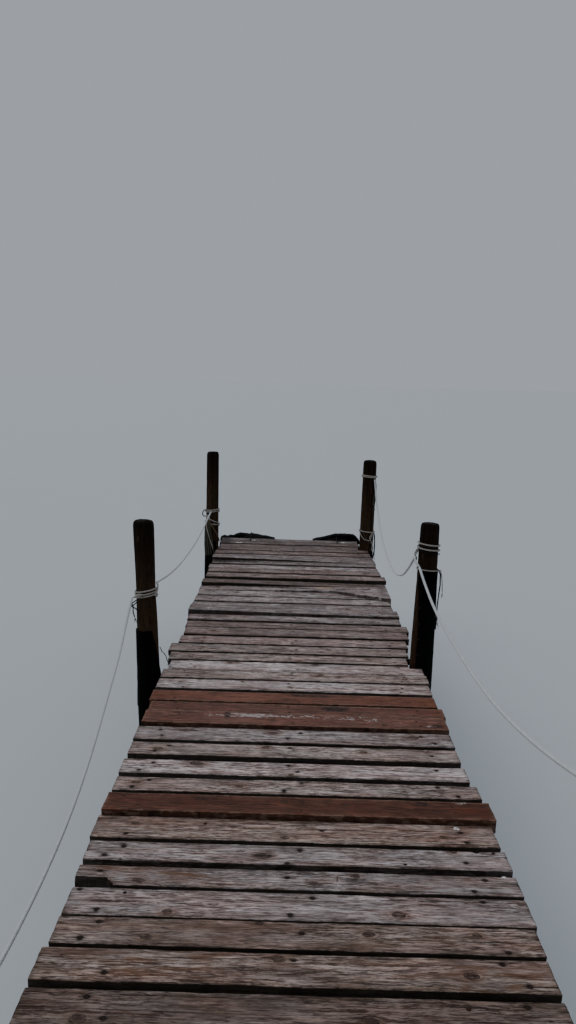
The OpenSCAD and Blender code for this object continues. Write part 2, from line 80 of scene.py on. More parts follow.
class Graph:
    """Adds nodes to one node tree and wires them in the order in which they are written."""

    def __init__(self, tree: bpy.types.NodeTree) -> None:
        """Keeps the tree that the nodes go into."""
        self.tree = tree

    def put(self, target: Socket, value: object) -> None:
        """Feeds an input.

        Args:
            target: the input.
            value: a socket to link to it, or the value that it takes.
        """
        if isinstance(value, Socket):
            self.tree.links.new(value, target)
        else:
            target.default_value = value

    def add(self, kind: str, inputs: dict, **settings: object) -> bpy.types.Node:
        """Adds a node.

        Args:
            kind: Blender's name for the node type.
            inputs: values or sockets by input name or number.
            settings: properties of the node itself.

        Returns:
            The new node.
        """
        node = self.tree.nodes.new(kind)
        for key, value in settings.items():
            setattr(node, key, value)
        for key, value in inputs.items():
            self.put(node.inputs[key], value)
        return node

    def math(self, operation: str, a: object, b: object = 0.0, c: object = 0.0,
             clamp: bool = False) -> Socket:
        """One arithmetic step on up to three values."""
        return self.add("ShaderNodeMath", {0: a, 1: b, 2: c}, operation=operation, use_clamp=clamp).outputs[0]

    def times(self, a: object, b: object, plus: object = None) -> Socket:
        """One value times another, plus a third where there is one."""
        return self.math("MULTIPLY", a, b) if plus is None else self.math("MULTIPLY_ADD", a, b, plus)

    def less(self, a: object, b: object) -> Socket:
        """One value less another."""
        return self.math("SUBTRACT", a, b)

    def most(self, a: object, b: object) -> Socket:
        """The greater of two values."""
        return self.math("MAXIMUM", a, b)

    def sway(self, value: Socket, noise: Socket, by: float) -> Socket:
        """Value moved to and fro by a noise, over a range of that width."""
        return self.math("ADD", value, self.times(noise, by, -by / 2))

    def vector(self, operation: str, a: object, b: object) -> bpy.types.Node:
        """One arithmetic step on two vectors."""
        return self.add("ShaderNodeVectorMath", {0: a, 1: b}, operation=operation)

    def length(self, x: object, y: object) -> Socket:
        """Length of a vector of two parts."""
        return self.vector("LENGTH", self.join(x, y, 0.0), ORIGIN).outputs["Value"]

    def scaled(self, place: Socket, scale: Colour) -> Socket:
        """Place with each axis scaled on its own."""
        return self.vector("MULTIPLY", place, scale).outputs[0]

    def split(self, place: Socket) -> tuple[Socket, Socket, Socket]:
        """The three parts of a vector."""
        node = self.add("ShaderNodeSeparateXYZ", {0: place})
        return node.outputs[0], node.outputs[1], node.outputs[2]

    def join(self, x: object, y: object, z: object) -> Socket:
        """A vector from its three parts."""
        return self.add("ShaderNodeCombineXYZ", {0: x, 1: y, 2: z}).outputs[0]

    def span(self, value: object, low: float, high: float, to_low: float = 0.0,
             to_high: float = 1.0) -> Socket:
        """Value carried smoothly from one range to another, and held at its ends."""
        return self.add("ShaderNodeMapRange", {0: value, 1: low, 2: high, 3: to_low, 4: to_high},
                        interpolation_type="SMOOTHSTEP").outputs[0]

    def noise(self, place: Socket, scale: Colour, detail: float = 2.0, rough: float = 0.55,
              bend: float = 0.0) -> Socket:
        """Noise with its own scale along each axis.

        Args:
            place: where it is read.
            scale: its scale along each axis.
            detail: how many finer layers it has.
            rough: how strong the finer layers are.
            bend: how far it is distorted.

        Returns:
            The noise, from 0 to 1.
        """
        inputs = {"Vector": self.scaled(place, scale), "Scale": 1.0, "Detail": detail, "Roughness": rough,
                  "Distortion": bend}
        return self.add("ShaderNodeTexNoise", inputs).outputs[0]

    def mix(self, share: object, a: object, b: object, blend: str = "MIX") -> Socket:
        """Blend of two colours.

        Args:
            share: how much of the second one there is.
            a, b: the colours.
            blend: Blender's name for the way in which they blend.

        Returns:
            The blended colour.
        """
        node = self.add("ShaderNodeMix", {0: share}, data_type="RGBA", blend_type=blend)
        for index, value in ((6, a), (7, b)):
            self.put(node.inputs[index], value if isinstance(value, Socket) else rgba(value))
        return node.outputs[2]

    def bump(self, height: Socket, strength: float, distance: float) -> Socket:
        """Normal that a height gives."""
        inputs = {"Height": height, "Strength": strength, "Distance": distance}
        return self.add("ShaderNodeBump", inputs).outputs[0]

    def lens(self, place: Socket, cell: tuple[float, float], half: tuple[float, float], share: float,
             soft: float = 0.0005) -> Socket:
        """Scattered marks, long and thin and pointed at both ends.

        Args:
            place: where, with the marks' length along the first axis.
            cell: room for each mark, along and across.
            half: half the length and half the width of the largest marks.
            share: share of the cells that have one.
            soft: width over which a mark's edge fades.

        Returns:
            1 inside a mark and 0 outside.
        """
        where = self.scaled(place, (1 / cell[0], 1 / cell[1], 0.0))
        cells = self.add("ShaderNodeTexVoronoi", {"Vector": where, "Scale": 1.0, "Randomness": 0.9},
                         voronoi_dimensions="2D")
        middle = self.scaled(cells.outputs["Position"], (cell[0], cell[1], 0.0))
        dx, dy, _ = self.split(self.vector("SUBTRACT", place, middle).outputs[0])
        chance, length, width = self.split(cells.outputs["Color"])
        along = self.math("DIVIDE", dx, self.times(length, 0.75 * half[0], 0.25 * half[0]))
        open_by = self.less(1.0, self.times(along, along))
        open_by = self.times(open_by, self.times(width, 0.6 * half[1], 0.4 * half[1]))
        mark = self.span(self.less(self.math("ABSOLUTE", dy), open_by), soft / 2, -soft / 2)
        return self.math("MULTIPLY", mark, self.math("LESS_THAN", chance, share))

    def read(self, name: str, output: str = "Fac") -> Socket:
        """Value of a mesh attribute."""
        return self.add("ShaderNodeAttribute", {}, attribute_name=name).outputs[output]

    def effect(self, effect: Effect, **inputs: object) -> bpy.types.Node:
        """Places one of the shared effects.

        Args:
            effect: which one.
            inputs: values or sockets by input name, with low lines for spaces.

        Returns:
            The node of the effect.
        """
        node = self.tree.nodes.new("ShaderNodeGroup")
        node.node_tree = bpy.data.node_groups[effect.value]
        for key, value in inputs.items():
            self.put(node.inputs[key.replace("_", " ")], value)
        return node


# Kinds of socket by how many parts their value has
SOCKETS = {1: "NodeSocketFloat", 3: "NodeSocketVector", 4: "NodeSocketColor"}


def new_effect(effect: Effect, inputs: dict[str, object], *outputs: str) -> tuple[Graph, dict, dict]:
    """Starts a shader node group.

    Args:
        effect: which effect it is.
        inputs: name and default of each input: a number, a vector of 3 or a colour of 4.
        outputs: name of each output; the one named Colour is a colour, and the others are numbers.

    Returns:
        The graph to build in, its inputs by name, and its outputs by name.
    """
    tree = bpy.data.node_groups.new(effect.value, "ShaderNodeTree")
    for name, default in inputs.items():
        socket = tree.interface.new_socket(name=name, in_out="INPUT", socket_type=SOCKETS[np.size(default)])
        socket.default_value = default
    for name in outputs:
        kind = SOCKETS[4 if name == "Colour" else 1]
        tree.interface.new_socket(name=name, in_out="OUTPUT", socket_type=kind)
    given, out = tree.nodes.new("NodeGroupInput").outputs, tree.nodes.new("NodeGroupOutput").inputs
    return Graph(tree), {s.name: s for s in given if s.name}, {s.name: s for s in out if s.name}


# What the grain tells the weathering, point by point
GRAIN_PARTS = ("Rings", "Fibres", "Streaks", "Knots", "Halo", "Checks", "Flakes")


def build_grain_effect() -> None:
    """Growth rings, fibres, flakes, knots and drying checks of timber that lies along the first axis."""
    g, given, out = new_effect(
        Effect.GRAIN, {"Place": ORIGIN, "Knot at": (1.0, 1.0, 0.01), "Ring width": 0.005, "Open": 1.0},
        *GRAIN_PARTS)
    place = given["Place"]
    dx, dy, size = g.split(given["Knot at"])
    wobble = g.noise(place, (60.0, 90.0, 0.0), 2.0)
    reach = g.sway(g.length(g.times(dx, 0.62), dy), wobble, 0.007)
    ratio = g.math("DIVIDE", reach, size)
    knot = g.span(ratio, 1.06, 0.86)
    halo = g.span(ratio, 3.4, 0.9)
    push = g.times(g.times(g.span(ratio, 4.6, 0.5), size), 0.9)
    side = g.math("DIVIDE", dy, g.most(reach, 0.003))
    bent = g.vector("SUBTRACT", place, g.join(0.0, g.times(push, side), 0.0)).outputs[0]
    drift = g.noise(place, (1.3, 5.0, 5.0), 2.0)
    bx, by, bz = g.split(bent)
    by = g.sway(by, g.noise(place, (7.0, 20.0, 20.0), 2.0), 0.010)
    bent = g.join(bx, by, bz)
    radial = g.length(g.sway(by, drift, 0.05), bz)
    radial = g.math("ADD", radial, g.times(g.noise(place, (8.0, 60.0, 60.0), 2.0), 0.005))
    phase = g.math("FRACT", g.math("DIVIDE", radial, given["Ring width"]))
    late = g.times(g.span(phase, 0.55, 0.90), g.span(phase, 1.0, 0.95))
    late = g.times(late, g.span(g.noise(bent, (9.0, 55.0, 40.0), 3.0, 0.6), 0.36, 0.60))
    g.put(out["Rings"], g.times(late, g.times(knot, -0.7, 1.0)))
    rim = g.span(g.math("ABSOLUTE", g.less(ratio, 0.90)), 0.24, 0.08)
    inner = g.span(g.math("ABSOLUTE", g.less(ratio, 0.45)), 0.14, 0.03)
    split = g.times(g.span(g.math("DIVIDE", g.math("ABSOLUTE", dy), size), 0.22, 0.10),
                   g.span(ratio, 0.75, 0.55))
    lines = g.most(g.most(rim, g.times(inner, 0.7)), split)
    lines = g.times(lines, g.span(g.noise(place, (45.0, 110.0, 0.0), 2.0, 0.6), 0.38, 0.62, 0.0, 0.85))
    g.put(out["Fibres"], g.noise(bent, (46.0, 400.0, 300.0), 3.0, 0.70))
    g.put(out["Streaks"], g.noise(bent, (7.0, 170.0, 170.0), 5.0, 0.74))
    g.put(out["Knots"], knot)
    g.put(out["Halo"], halo)
    long_ones = g.lens(bent, (0.34, 0.031), (0.150, 0.0021), 0.46)
    short_ones = g.lens(bent, (0.12, 0.015), (0.055, 0.0017), 0.48)
    nicks = g.lens(bent, (0.045, 0.009), (0.018, 0.0014), 0.40)
    clear = g.less(1.0, knot)
    checks = g.most(g.times(long_ones, given["Open"]), g.times(short_ones, 0.85))
    checks = g.most(checks, g.times(nicks, 0.70))
    g.put(out["Checks"], g.most(g.times(checks, clear), lines))
    g.put(out["Flakes"], g.times(g.lens(bent, (0.065, 0.011), (0.028, 0.0034), 0.50, 0.0022), clear))


def build_weather_effect() -> None:
    """What sun, feet and water do to bare timber: bleaching, brown patches, olive edges and iron stains; also
    painted shade on the sides and in a post's deep checks, and a post darker towards its foot.
    """
    g, given, out = new_effect(
        Effect.WEATHER,
        {"Place": ORIGIN,
         **dict.fromkeys(("Pale", "Dark", "Raw", "Deep", "Worn", "Tint"), (0.5, 0.5, 0.5, 1.0)),
         **dict.fromkeys((*GRAIN_PARTS, "Warmth", "Edge", "Side", "Stain", "Contrast", "Side damp"), 0.5)},
        "Colour", "Height", "Gloss")
    place = given["Place"]
    dapple = g.noise(place, (15.0, 95.0, 60.0), 4.0, 0.74, 0.9)
    patches = g.noise(place, (4.4, 19.0, 10.0), 5.0, 0.66, 0.8)
    grain = g.times(g.less(given["Streaks"], 0.5), 1.9, 0.50)
    grain = g.times(g.less(given["Fibres"], 0.5), 1.5, grain)
    grain = g.times(g.less(dapple, 0.5), 2.1, grain)
    grain = g.times(given["Rings"], -0.34, grain)
    grain = g.times(given["Flakes"], 0.22, grain)
    calm = g.span(g.noise(place, (2.3, 12.0, 8.0), 3.0, 0.6), 0.38, 0.62, 0.60, 1.50)
    grain = g.times(g.less(grain, 0.46), calm)
    grain = g.math("MULTIPLY_ADD", grain, given["Contrast"], 0.5, clamp=True)
    light = g.times(grain, g.span(patches, 0.34, 0.60, 0.55, 1.0))
    colour = g.mix(light, given["Dark"], given["Pale"])
    raw = g.span(g.noise(place, (6.2, 34.0, 12.0), 5.0, 0.70, 0.8), 0.40, 0.66)
    raw = g.times(g.times(raw, given["Warmth"]), g.times(light, -0.5, 1.0))
    raw = g.math("MAXIMUM", raw, g.math("MULTIPLY", given["Halo"], 0.55), clamp=True)
    colour = g.mix(raw, colour, g.mix(light, g.mix(0.6, given["Raw"], given["Dark"]), given["Raw"]))
    rosy = g.span(g.noise(place, (3.4, 17.0, 9.0), 4.0, 0.68), 0.42, 0.60, 0.0, 0.85)
    colour = g.mix(rosy, colour, (0.95, 0.82, 0.79), "MULTIPLY")
    colour = g.mix(1.0, colour, given["Tint"], "MULTIPLY")
    blotch = g.span(g.noise(place, (70.0, 150.0, 60.0), 3.0, 0.65), 0.34, 0.60, 0.30, 0.95)
    colour = g.mix(g.times(given["Knots"], blotch), colour, (0.050, 0.026, 0.018))
    moss_edge = g.math("POWER", given["Edge"], 0.34)
    moss = g.times(moss_edge, g.span(g.noise(place, (5.0, 40.0, 40.0), 4.0, 0.6), 0.42, 0.66))
    colour = g.mix(g.times(moss, 0.70), colour, g.mix(light, given["Deep"], given["Raw"]))
    streaked = g.span(g.noise(place, (26.0, 60.0, 60.0), 3.0, 0.6), 0.45, 0.62)
    worn = g.times(given["Edge"], g.times(streaked, 0.75, 0.15))
    colour = g.mix(g.times(worn, 0.80), colour, given["Worn"])
    # Painted shade: the drying checks and the cracks round knots are darkened nearly to black
    colour = g.mix(g.times(given["Checks"], 0.90), colour, (0.012, 0.008, 0.006))
    # Rust brown, then near black where the Stain input is strong: rust round the nails of boards, and on a
    # post painted shade in its deep drying checks
    rust = g.span(given["Stain"], 0.12, 0.50)
    colour = g.mix(g.times(rust, 0.55), colour, (0.030, 0.016, 0.012))
    colour = g.mix(g.times(g.span(given["Stain"], 0.50, 0.80), 0.95), colour, (0.007, 0.005, 0.004))
    # Painted shade: the sides and underside of boards and beams go towards the deep colour, so that the gaps
    # between boards look dark; on a post the side value darkens it towards its foot
    damp = g.times(given["Side"], given["Side damp"])
    colour = g.mix(g.times(damp, g.times(streaked, -0.12, 0.93)), colour, given["Deep"])
    g.put(out["Colour"], colour)
    height = g.times(given["Rings"], 0.40, g.times(given["Streaks"], 0.9))
    height = g.times(given["Fibres"], 0.6, height)
    height = g.times(given["Flakes"], 0.25, height)
    height = g.less(height, g.times(given["Checks"], 1.6))
    g.put(out["Height"], height)
    gloss = g.times(light, 0.10, 0.70)
    g.put(out["Gloss"], g.math("SUBTRACT", gloss, g.math("MULTIPLY", given["Knots"], 0.12), clamp=True))


def build_mottle_effect() -> None:
    """Dirt, dust and small dents on rubber and iron."""
    g, given, out = new_effect(Effect.MOTTLE, {"Place": ORIGIN, "Scale": 1.0}, "Dirt", "Dust", "Fine")
    scaling = g.add("ShaderNodeVectorMath", {0: given["Place"], 3: given["Scale"]}, operation="SCALE")
    place = scaling.outputs[0]
    g.put(out["Dirt"], g.span(g.noise(place, (9.0, 9.0, 9.0), 5.0, 0.62, 0.5), 0.38, 0.66))
    _, _, up = g.split(g.add("ShaderNodeNewGeometry", {}).outputs["Normal"])
    dust = g.times(g.span(up, -0.1, 0.9), g.span(g.noise(place, (34.0, 34.0, 34.0), 4.0, 0.6), 0.3, 0.7))
    g.put(out["Dust"], dust)
    g.put(out["Fine"], g.noise(place, (320.0, 320.0, 320.0), 3.0, 0.6))


def build_lay_effect() -> None:
    """Yarns and hairs of a laid rope; the first axis runs along the rope and the second across a strand."""
    g, given, out = new_effect(Effect.LAY, {"Place": ORIGIN}, "Yarns", "Grime")
    along, across, strand = g.split(given["Place"])
    twisted = g.join(g.times(across, 0.006, along), across, strand)
    yarns = g.noise(twisted, (130.0, 9.0, 3.0), 3.0, 0.6)
    g.put(out["Yarns"], yarns)
    grime = g.noise(given["Place"], (11.0, 0.6, 2.0), 4.0, 0.65)
    # Noise grime, and darker in the valleys between the strands
    valley = g.span(g.math("ABSOLUTE", across), 0.55, 1.0)
    g.put(out["Grime"], g.most(g.span(grime, 0.42, 0.7), g.times(valley, 0.85)))


@dataclass(frozen=True)
class TimberFinish:
    """Bare or stained timber."""

    name: str
    slot: str
    pale: Colour
    dark: Colour
    raw: Colour
    deep: Colour
    contrast: float = 1.0
    open: float = 1.0
    ring: float = 0.005
    bump: float = 0.5
    # Share of the painted shade on the sides and underside
    damp: float = 1.0
    gloss: float = 0.12
    worn: Optional[Colour] = None
    flakes: Optional[Colour] = None

    def build(self) -> bpy.types.Material:
        """Makes the material of this finish.

        Returns:
            The new material.
        """
        material, g, shader = new_material(self.name)
        place = g.read("grain_at", "Vector")
        grain = g.effect(Effect.GRAIN, Place=place, Knot_at=g.read("knot_at", "Vector"), Ring_width=self.ring,
                         Open=self.open)
        weather = g.effect(
            Effect.WEATHER, Place=place, Pale=rgba(self.pale), Dark=rgba(self.dark), Raw=rgba(self.raw),
            Deep=rgba(self.deep), Tint=g.read("tint", "Color"), Warmth=g.read("warmth"), Edge=g.read("edge"),
            Side=g.read("side"), Stain=g.read("stain"), Contrast=self.contrast, Side_damp=self.damp,
            Worn=rgba(self.worn or self.deep), **{part: grain.outputs[part] for part in GRAIN_PARTS})
        colour = weather.outputs["Colour"]
        if self.flakes:
            colour = self.traces(g, place, colour)
        g.put(shader.inputs["Base Color"], colour)
        g.put(shader.inputs["Roughness"], weather.outputs["Gloss"])
        g.put(shader.inputs["Normal"], g.bump(weather.outputs["Height"], self.bump, 0.0016))
        shader.inputs["Specular IOR Level"].default_value = self.gloss
        return material

    def traces(self, g: Graph, place: Socket, colour: Socket) -> Socket:
        """Pale flakes, and dark smudges that in places are painted gap shade, where the mesh says they are.

        Args:
            g: graph of the material.
            place: where in the timber.
            colour: the timber's own colour.

        Returns:
            The colour with the traces on it.
        """
        flakes = g.math("ADD", g.noise(place, (52.0, 75.0, 60.0), 4.0, 0.76), g.read("paint"))
        colour = g.mix(g.span(flakes, 1.01, 1.10, 0.0, 0.92), colour, self.flakes)
        smear = g.span(g.noise(place, (40.0, 120.0, 60.0), 3.0, 0.6), 0.30, 0.52)
        return g.mix(g.times(g.read("smear"), smear), colour, (0.013, 0.009, 0.008))


@dataclass(frozen=True)
class RopeFinish:
    """Laid rope, more or less dirty."""

    name: str
    slot: str
    clean: Colour
    dirty: Colour
    dirt: float
    sheen: float = 0.2

    def build(self) -> bpy.types.Material:
        """Makes the material of this finish.

        Returns:
            The new material.
        """
        material, g, shader = new_material(self.name)
        lay = g.effect(Effect.LAY, Place=g.read("grain_at", "Vector"))
        darker = tuple(0.62 * part for part in self.clean)
        colour = g.mix(g.span(lay.outputs["Yarns"], 0.30, 0.75), darker, self.clean)
        colour = g.mix(g.times(lay.outputs["Grime"], self.dirt), colour, self.dirty)
        g.put(shader.inputs["Base Color"], colour)
        g.put(shader.inputs["Roughness"], g.span(lay.outputs["Yarns"], 0.0, 1.0, 0.95, 0.72))
        g.put(shader.inputs["Normal"], g.bump(lay.outputs["Yarns"], 0.55, 0.0008))
        shader.inputs["Sheen Weight"].default_value = self.sheen
        shader.inputs["Specular IOR Level"].default_value = 0.12
        return material


@dataclass(frozen=True)
class MottledFinish:
    """Rubber or iron with dirt in its hollows and dust on what faces up."""

    name: str
    slot: str
    base: Colour
    dirt: Colour
    dust: Colour
    dust_share: float
    rough: float
    metal: float = 0.0
    scale: float = 1.0
    bump: float = 0.25
    gloss: float = 0.3

    def build(self) -> bpy.types.Material:
        """Makes the material of this finish.

        Returns:
            The new material.
        """
        material, g, shader = new_material(self.name)
        place = g.add("ShaderNodeTexCoord", {}).outputs["Object"]
        mottle = g.effect(Effect.MOTTLE, Place=place, Scale=self.scale)
        colour = g.mix(mottle.outputs["Dirt"], self.base, self.dirt)
        colour = g.mix(g.times(mottle.outputs["Dust"], self.dust_share), colour, self.dust)
        g.put(shader.inputs["Base Color"], colour)
        rough = g.times(mottle.outputs["Dust"], 0.25, self.rough)
        rough = g.math("MULTIPLY_ADD", mottle.outputs["Dirt"], 0.12, rough, clamp=True)
        g.put(shader.inputs["Roughness"], rough)
        g.put(shader.inputs["Normal"], g.bump(mottle.outputs["Fine"], self.bump, 0.0006))
        shader.inputs["Metallic"].default_value = self.metal
        shader.inputs["Specular IOR Level"].default_value = self.gloss
        return material


def new_material(name: str) -> tuple[bpy.types.Material, Graph, bpy.types.Node]:
    """Starts a material.

    Args:
        name: name of the finish.

    Returns:
        The material, its graph and its shader.
    """
    material = bpy.data.materials.new(name)
    material.use_nodes = True
    return material, Graph(material.node_tree), material.node_tree.nodes["Principled BSDF"]


class Finish(Enum):
    """Every finish on the jetty."""

    SILVER = TimberFinish(
        "silver_boards", "weathered_boards", pale=(0.560, 0.480, 0.455), dark=(0.070, 0.044, 0.036),
        raw=(0.200, 0.105, 0.058), deep=(0.014, 0.012, 0.008), contrast=1.25, flakes=(0.360, 0.235, 0.125))
    STAINED = TimberFinish(
        "stained_boards", "new_boards", pale=(0.185, 0.072, 0.048), dark=(0.042, 0.015, 0.010),
        raw=(0.170, 0.055, 0.022), deep=(0.014, 0.006, 0.004), contrast=0.95, open=0.5, bump=0.35, damp=0.8,
        worn=(0.320, 0.200, 0.145), flakes=(0.46, 0.40, 0.38))
    FRAME = TimberFinish(
        "frame_timber", "frame_wood", pale=(0.170, 0.135, 0.110), dark=(0.040, 0.030, 0.024),
        raw=(0.085, 0.050, 0.030), deep=(0.018, 0.018, 0.014), damp=0.45)
    POST = TimberFinish(
        "post_log", "post_wood", pale=(0.044, 0.028, 0.017), dark=(0.007, 0.005, 0.003),
        raw=(0.040, 0.019, 0.008), deep=(0.004, 0.004, 0.003), contrast=0.9, ring=0.007, bump=0.8, damp=0.75,
        gloss=0.05)
    HAND_ROPE = RopeFinish("bleached_rope", "hand_rope", (0.80, 0.82, 0.83), (0.26, 0.26, 0.26), 0.35)
    OLD_ROPE = RopeFinish("old_rope", "lashing_rope", (0.50, 0.46, 0.41), (0.10, 0.088, 0.076), 0.55)
    TARRED = RopeFinish("tarred_line", "lashing_rope", (0.014, 0.015, 0.017), (0.005, 0.005, 0.005), 0.7, 0.0)
    MOSSY = RopeFinish("mossy_rope", "lashing_rope", (0.085, 0.080, 0.055), (0.022, 0.021, 0.014), 0.7, 0.05)
    TAN = RopeFinish("tan_rope", "lashing_rope", (0.200, 0.120, 0.065), (0.050, 0.030, 0.018), 0.6)
    TYRE = MottledFinish("tyre_rubber", "fender_rubber", (0.005, 0.005, 0.0055), (0.012, 0.011, 0.010),
                         (0.030, 0.028, 0.025), 0.35, 0.74, gloss=0.06)
    SLEEVE = MottledFinish("black_sheet", "sleeve_rubber", (0.0020, 0.0020, 0.0025), (0.004, 0.004, 0.004),
                           (0.010, 0.010, 0.010), 0.25, 0.76, scale=0.6, gloss=0.03)
    IRON = MottledFinish("rusty_iron", "iron", (0.020, 0.011, 0.008), (0.050, 0.022, 0.012),
                         (0.045, 0.030, 0.024), 0.3, 0.78, scale=6.0, gloss=0.12)
    CHALK = MottledFinish("chalky_spatter", "weathered_boards", (0.72, 0.72, 0.69), (0.50, 0.49, 0.45),
                          (0.72, 0.72, 0.70), 0.3, 0.75, scale=8.0)

    def material(self) -> bpy.types.Material:
        """The finish as a material, made the first time that it is asked for."""
        return bpy.data.materials.get(self.value.name) or self.value.build()


class Uneven:
    """Seeded smooth noise for shapes."""

    def __init__(self, seed: int) -> None:
        """Starts the draws from a seed."""
        self.rng = np.random.default_rng(seed)

    def field(self, u: np.ndarray, v: np.ndarray, cell_u: float, cell_v: float) -> np.ndarray:
        """Noise from -1 to 1 over two coordinates.

        Args:
            u, v: coordinates, of shapes that broadcast together.
            cell_u, cell_v: distance over which the noise turns, along each.

        Returns:
            One value for each point.
        """
        u, v = np.broadcast_arrays(np.asarray(u, float), np.asarray(v, float))
        a, b = (u - u.min()) / cell_u, (v - v.min()) / cell_v
        i, j = np.floor(a).astype(int), np.floor(b).astype(int)
        grid = self.rng.uniform(-1, 1, (i.max() + 2, j.max() + 2))
        fa, fb = a - i, b - j
        fa, fb = fa * fa * (3 - 2 * fa), fb * fb * (3 - 2 * fb)
        low = grid[i, j] * (1 - fa) + grid[i + 1, j] * fa
        high = grid[i, j + 1] * (1 - fa) + grid[i + 1, j + 1] * fa
        return low * (1 - fb) + high * fb

    def line(self, u: np.ndarray, cell: float) -> np.ndarray:
        """Noise from -1 to 1 along one coordinate."""
        return self.field(u, np.zeros_like(u), cell, 1.0)

    def pick(self, low: float, high: float) -> float:
        """One draw between two values."""
        return float(self.rng.uniform(low, high))


@dataclass
class Shape:
    """Points, faces and point values of one mesh in the making."""

    points: list[np.ndarray] = field(default_factory=list)
    faces: list[tuple[int, ...]] = field(default_factory=list)
    values: dict[str, list[np.ndarray]] = field(default_factory=dict)
    count: int = 0

    def add(self, points: np.ndarray, faces: list, **values: np.ndarray) -> None:
        """Adds a part.

        Args:
            points: its points, in an array of any shape that ends in 3.
            faces: its faces, by the numbers of its own points.
            values: value or vector of each point, by attribute name.
        """
        points = np.asarray(points, float).reshape(-1, 3)
        self.faces.extend(tuple(int(i) + self.count for i in face) for face in faces)
        self.points.append(points)
        for name, value in values.items():
            self.values.setdefault(name, []).append(np.reshape(value, (len(points), -1)))
        self.count += len(points)

    def piece(self, name: str, finish: Finish, *replaced: str, angle: float = 38.0) -> bpy.types.Object:
        """Makes the piece and hands it to the frame.

        Args:
            name: name of the piece.
            finish: what it is finished in.
            replaced: CAD nodes that it stands for.
            angle: edges sharper than this stay sharp, in degrees.

        Returns:
            The new object.
        """
        mesh = bpy.data.meshes.new(name)
        mesh.from_pydata(np.concatenate(self.points).tolist(), [], self.faces)
        mesh.shade_smooth()
        mesh.set_sharp_from_angle(angle=math.radians(angle))
        for key, parts in self.values.items():
            data = np.concatenate(parts)
            kind, slot = ("FLOAT_VECTOR", "vector") if data.shape[1] == 3 else ("FLOAT", "value")
            mesh.attributes.new(key, kind, "POINT").data.foreach_set(slot, data.ravel())
        mesh.materials.append(finish.material())
        piece = bpy.data.objects.new(name, mesh)
        bpy.context.scene.collection.objects.link(piece)
        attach(piece, BODY)
        if replaced:
            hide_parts(*replaced)
        LOG.info("%s: %d faces", name, len(mesh.polygons))
        return piece


def circle(count: int) -> np.ndarray:
    """Angles at an even distance round a circle, from 0."""
    return np.linspace(0, 2 * math.pi, count, endpoint=False)


def sheet(kept: np.ndarray, flip: bool) -> list[tuple[int, ...]]:
    """Faces of a thin sheet on a grid of points, the whole outside first and then the whole inside.

    Args:
        kept: which cells of the grid are there.
        flip: whether to turn the faces round.

    Returns:
        The faces of both sides and of the rim, also round cells that are left out.
    """
    rows, columns = kept.shape
    wide, more = columns + 1, (rows + 1) * (columns + 1)
    out = []
    room = np.pad(kept, 1)
    for i, j in zip(*np.nonzero(kept)):
        a, b, c, d = i * wide + j, i * wide + j + 1, (i + 1) * wide + j + 1, (i + 1) * wide + j
        out += [(a, b, c, d), (d + more, c + more, b + more, a + more)]
        for (p, q), there in (((a, b), room[i, j + 1]), ((b, c), room[i + 1, j + 2]),
                              ((c, d), room[i + 2, j + 1]), ((d, a), room[i + 1, j])):
            if not there:
                out.append((q, p, p + more, q + more))
    return [face[::-1] for face in out] if flip else out


def band(rows: int, columns: int, flip: bool = False, closed: bool = False) -> list[list[int]]:
    """Faces between rings of points that follow each other.

    Args:
        rows: number of rings.
        columns: points in each ring.
        flip: whether the faces look the other way.
        closed: whether the last ring is joined to the first.

    Returns:
        Four-sided faces; they look outwards for rings along a right-handed sweep.
    """
    i, j = np.meshgrid(np.arange(rows if closed else rows - 1), np.arange(columns), indexing="ij")
    here, ahead, k = i * columns, (i + 1) % rows * columns, (j + 1) % columns
    quads = np.stack([here + j, here + k, ahead + k, ahead + j], -1)
    return (quads[..., ::-1] if flip else quads).reshape(-1, 4).tolist()


def capped(rows: int, columns: int, flip: bool = False, foot: bool = True) -> list[list[int]]:
    """Faces between rings of points, with one face over the last ring and one under the first.

    Args:
        rows: number of rings.
        columns: points in each ring.
        flip: whether the faces look the other way.
        foot: whether the first ring has its face.

    Returns:
        The faces, the ends last.
    """
    first = list(range(columns))
    last = [(rows - 1) * columns + k for k in first]
    ends = [first[::-1], last] if foot else [last]
    return band(rows, columns, flip) + [face[::-1] if flip else face for face in ends]


@dataclass
class Solid:
    """One loose solid of a CAD node: its corners and its edges."""

    corners: np.ndarray
    edges: np.ndarray

    def low(self) -> np.ndarray:
        """Lowest corner of its box."""
        return self.corners.min(0)

    def high(self) -> np.ndarray:
        """Highest corner of its box."""
        return self.corners.max(0)

    def cut(self, axis: int, stations: np.ndarray) -> np.ndarray:
        """Extents where the solid is cut across its length.

        Args:
            axis: axis of its length, 0 or 1.
            stations: places along that axis.

        Returns:
            A row for each station: low and high across, then low and high upwards.
        """
        a, b = self.corners[self.edges[:, 0]], self.corners[self.edges[:, 1]]
        rows = []
        for place in stations:
            da, db = a[:, axis] - place, b[:, axis] - place
            hit = (da * db <= 0) & (np.abs(da - db) > 1e-9)
            share = (da[hit] / (da[hit] - db[hit]))[:, None]
            met = a[hit] + (b[hit] - a[hit]) * share
            rows.append([met[:, 1 - axis].min(), met[:, 1 - axis].max(), met[:, 2].min(), met[:, 2].max()])
        return np.array(rows)


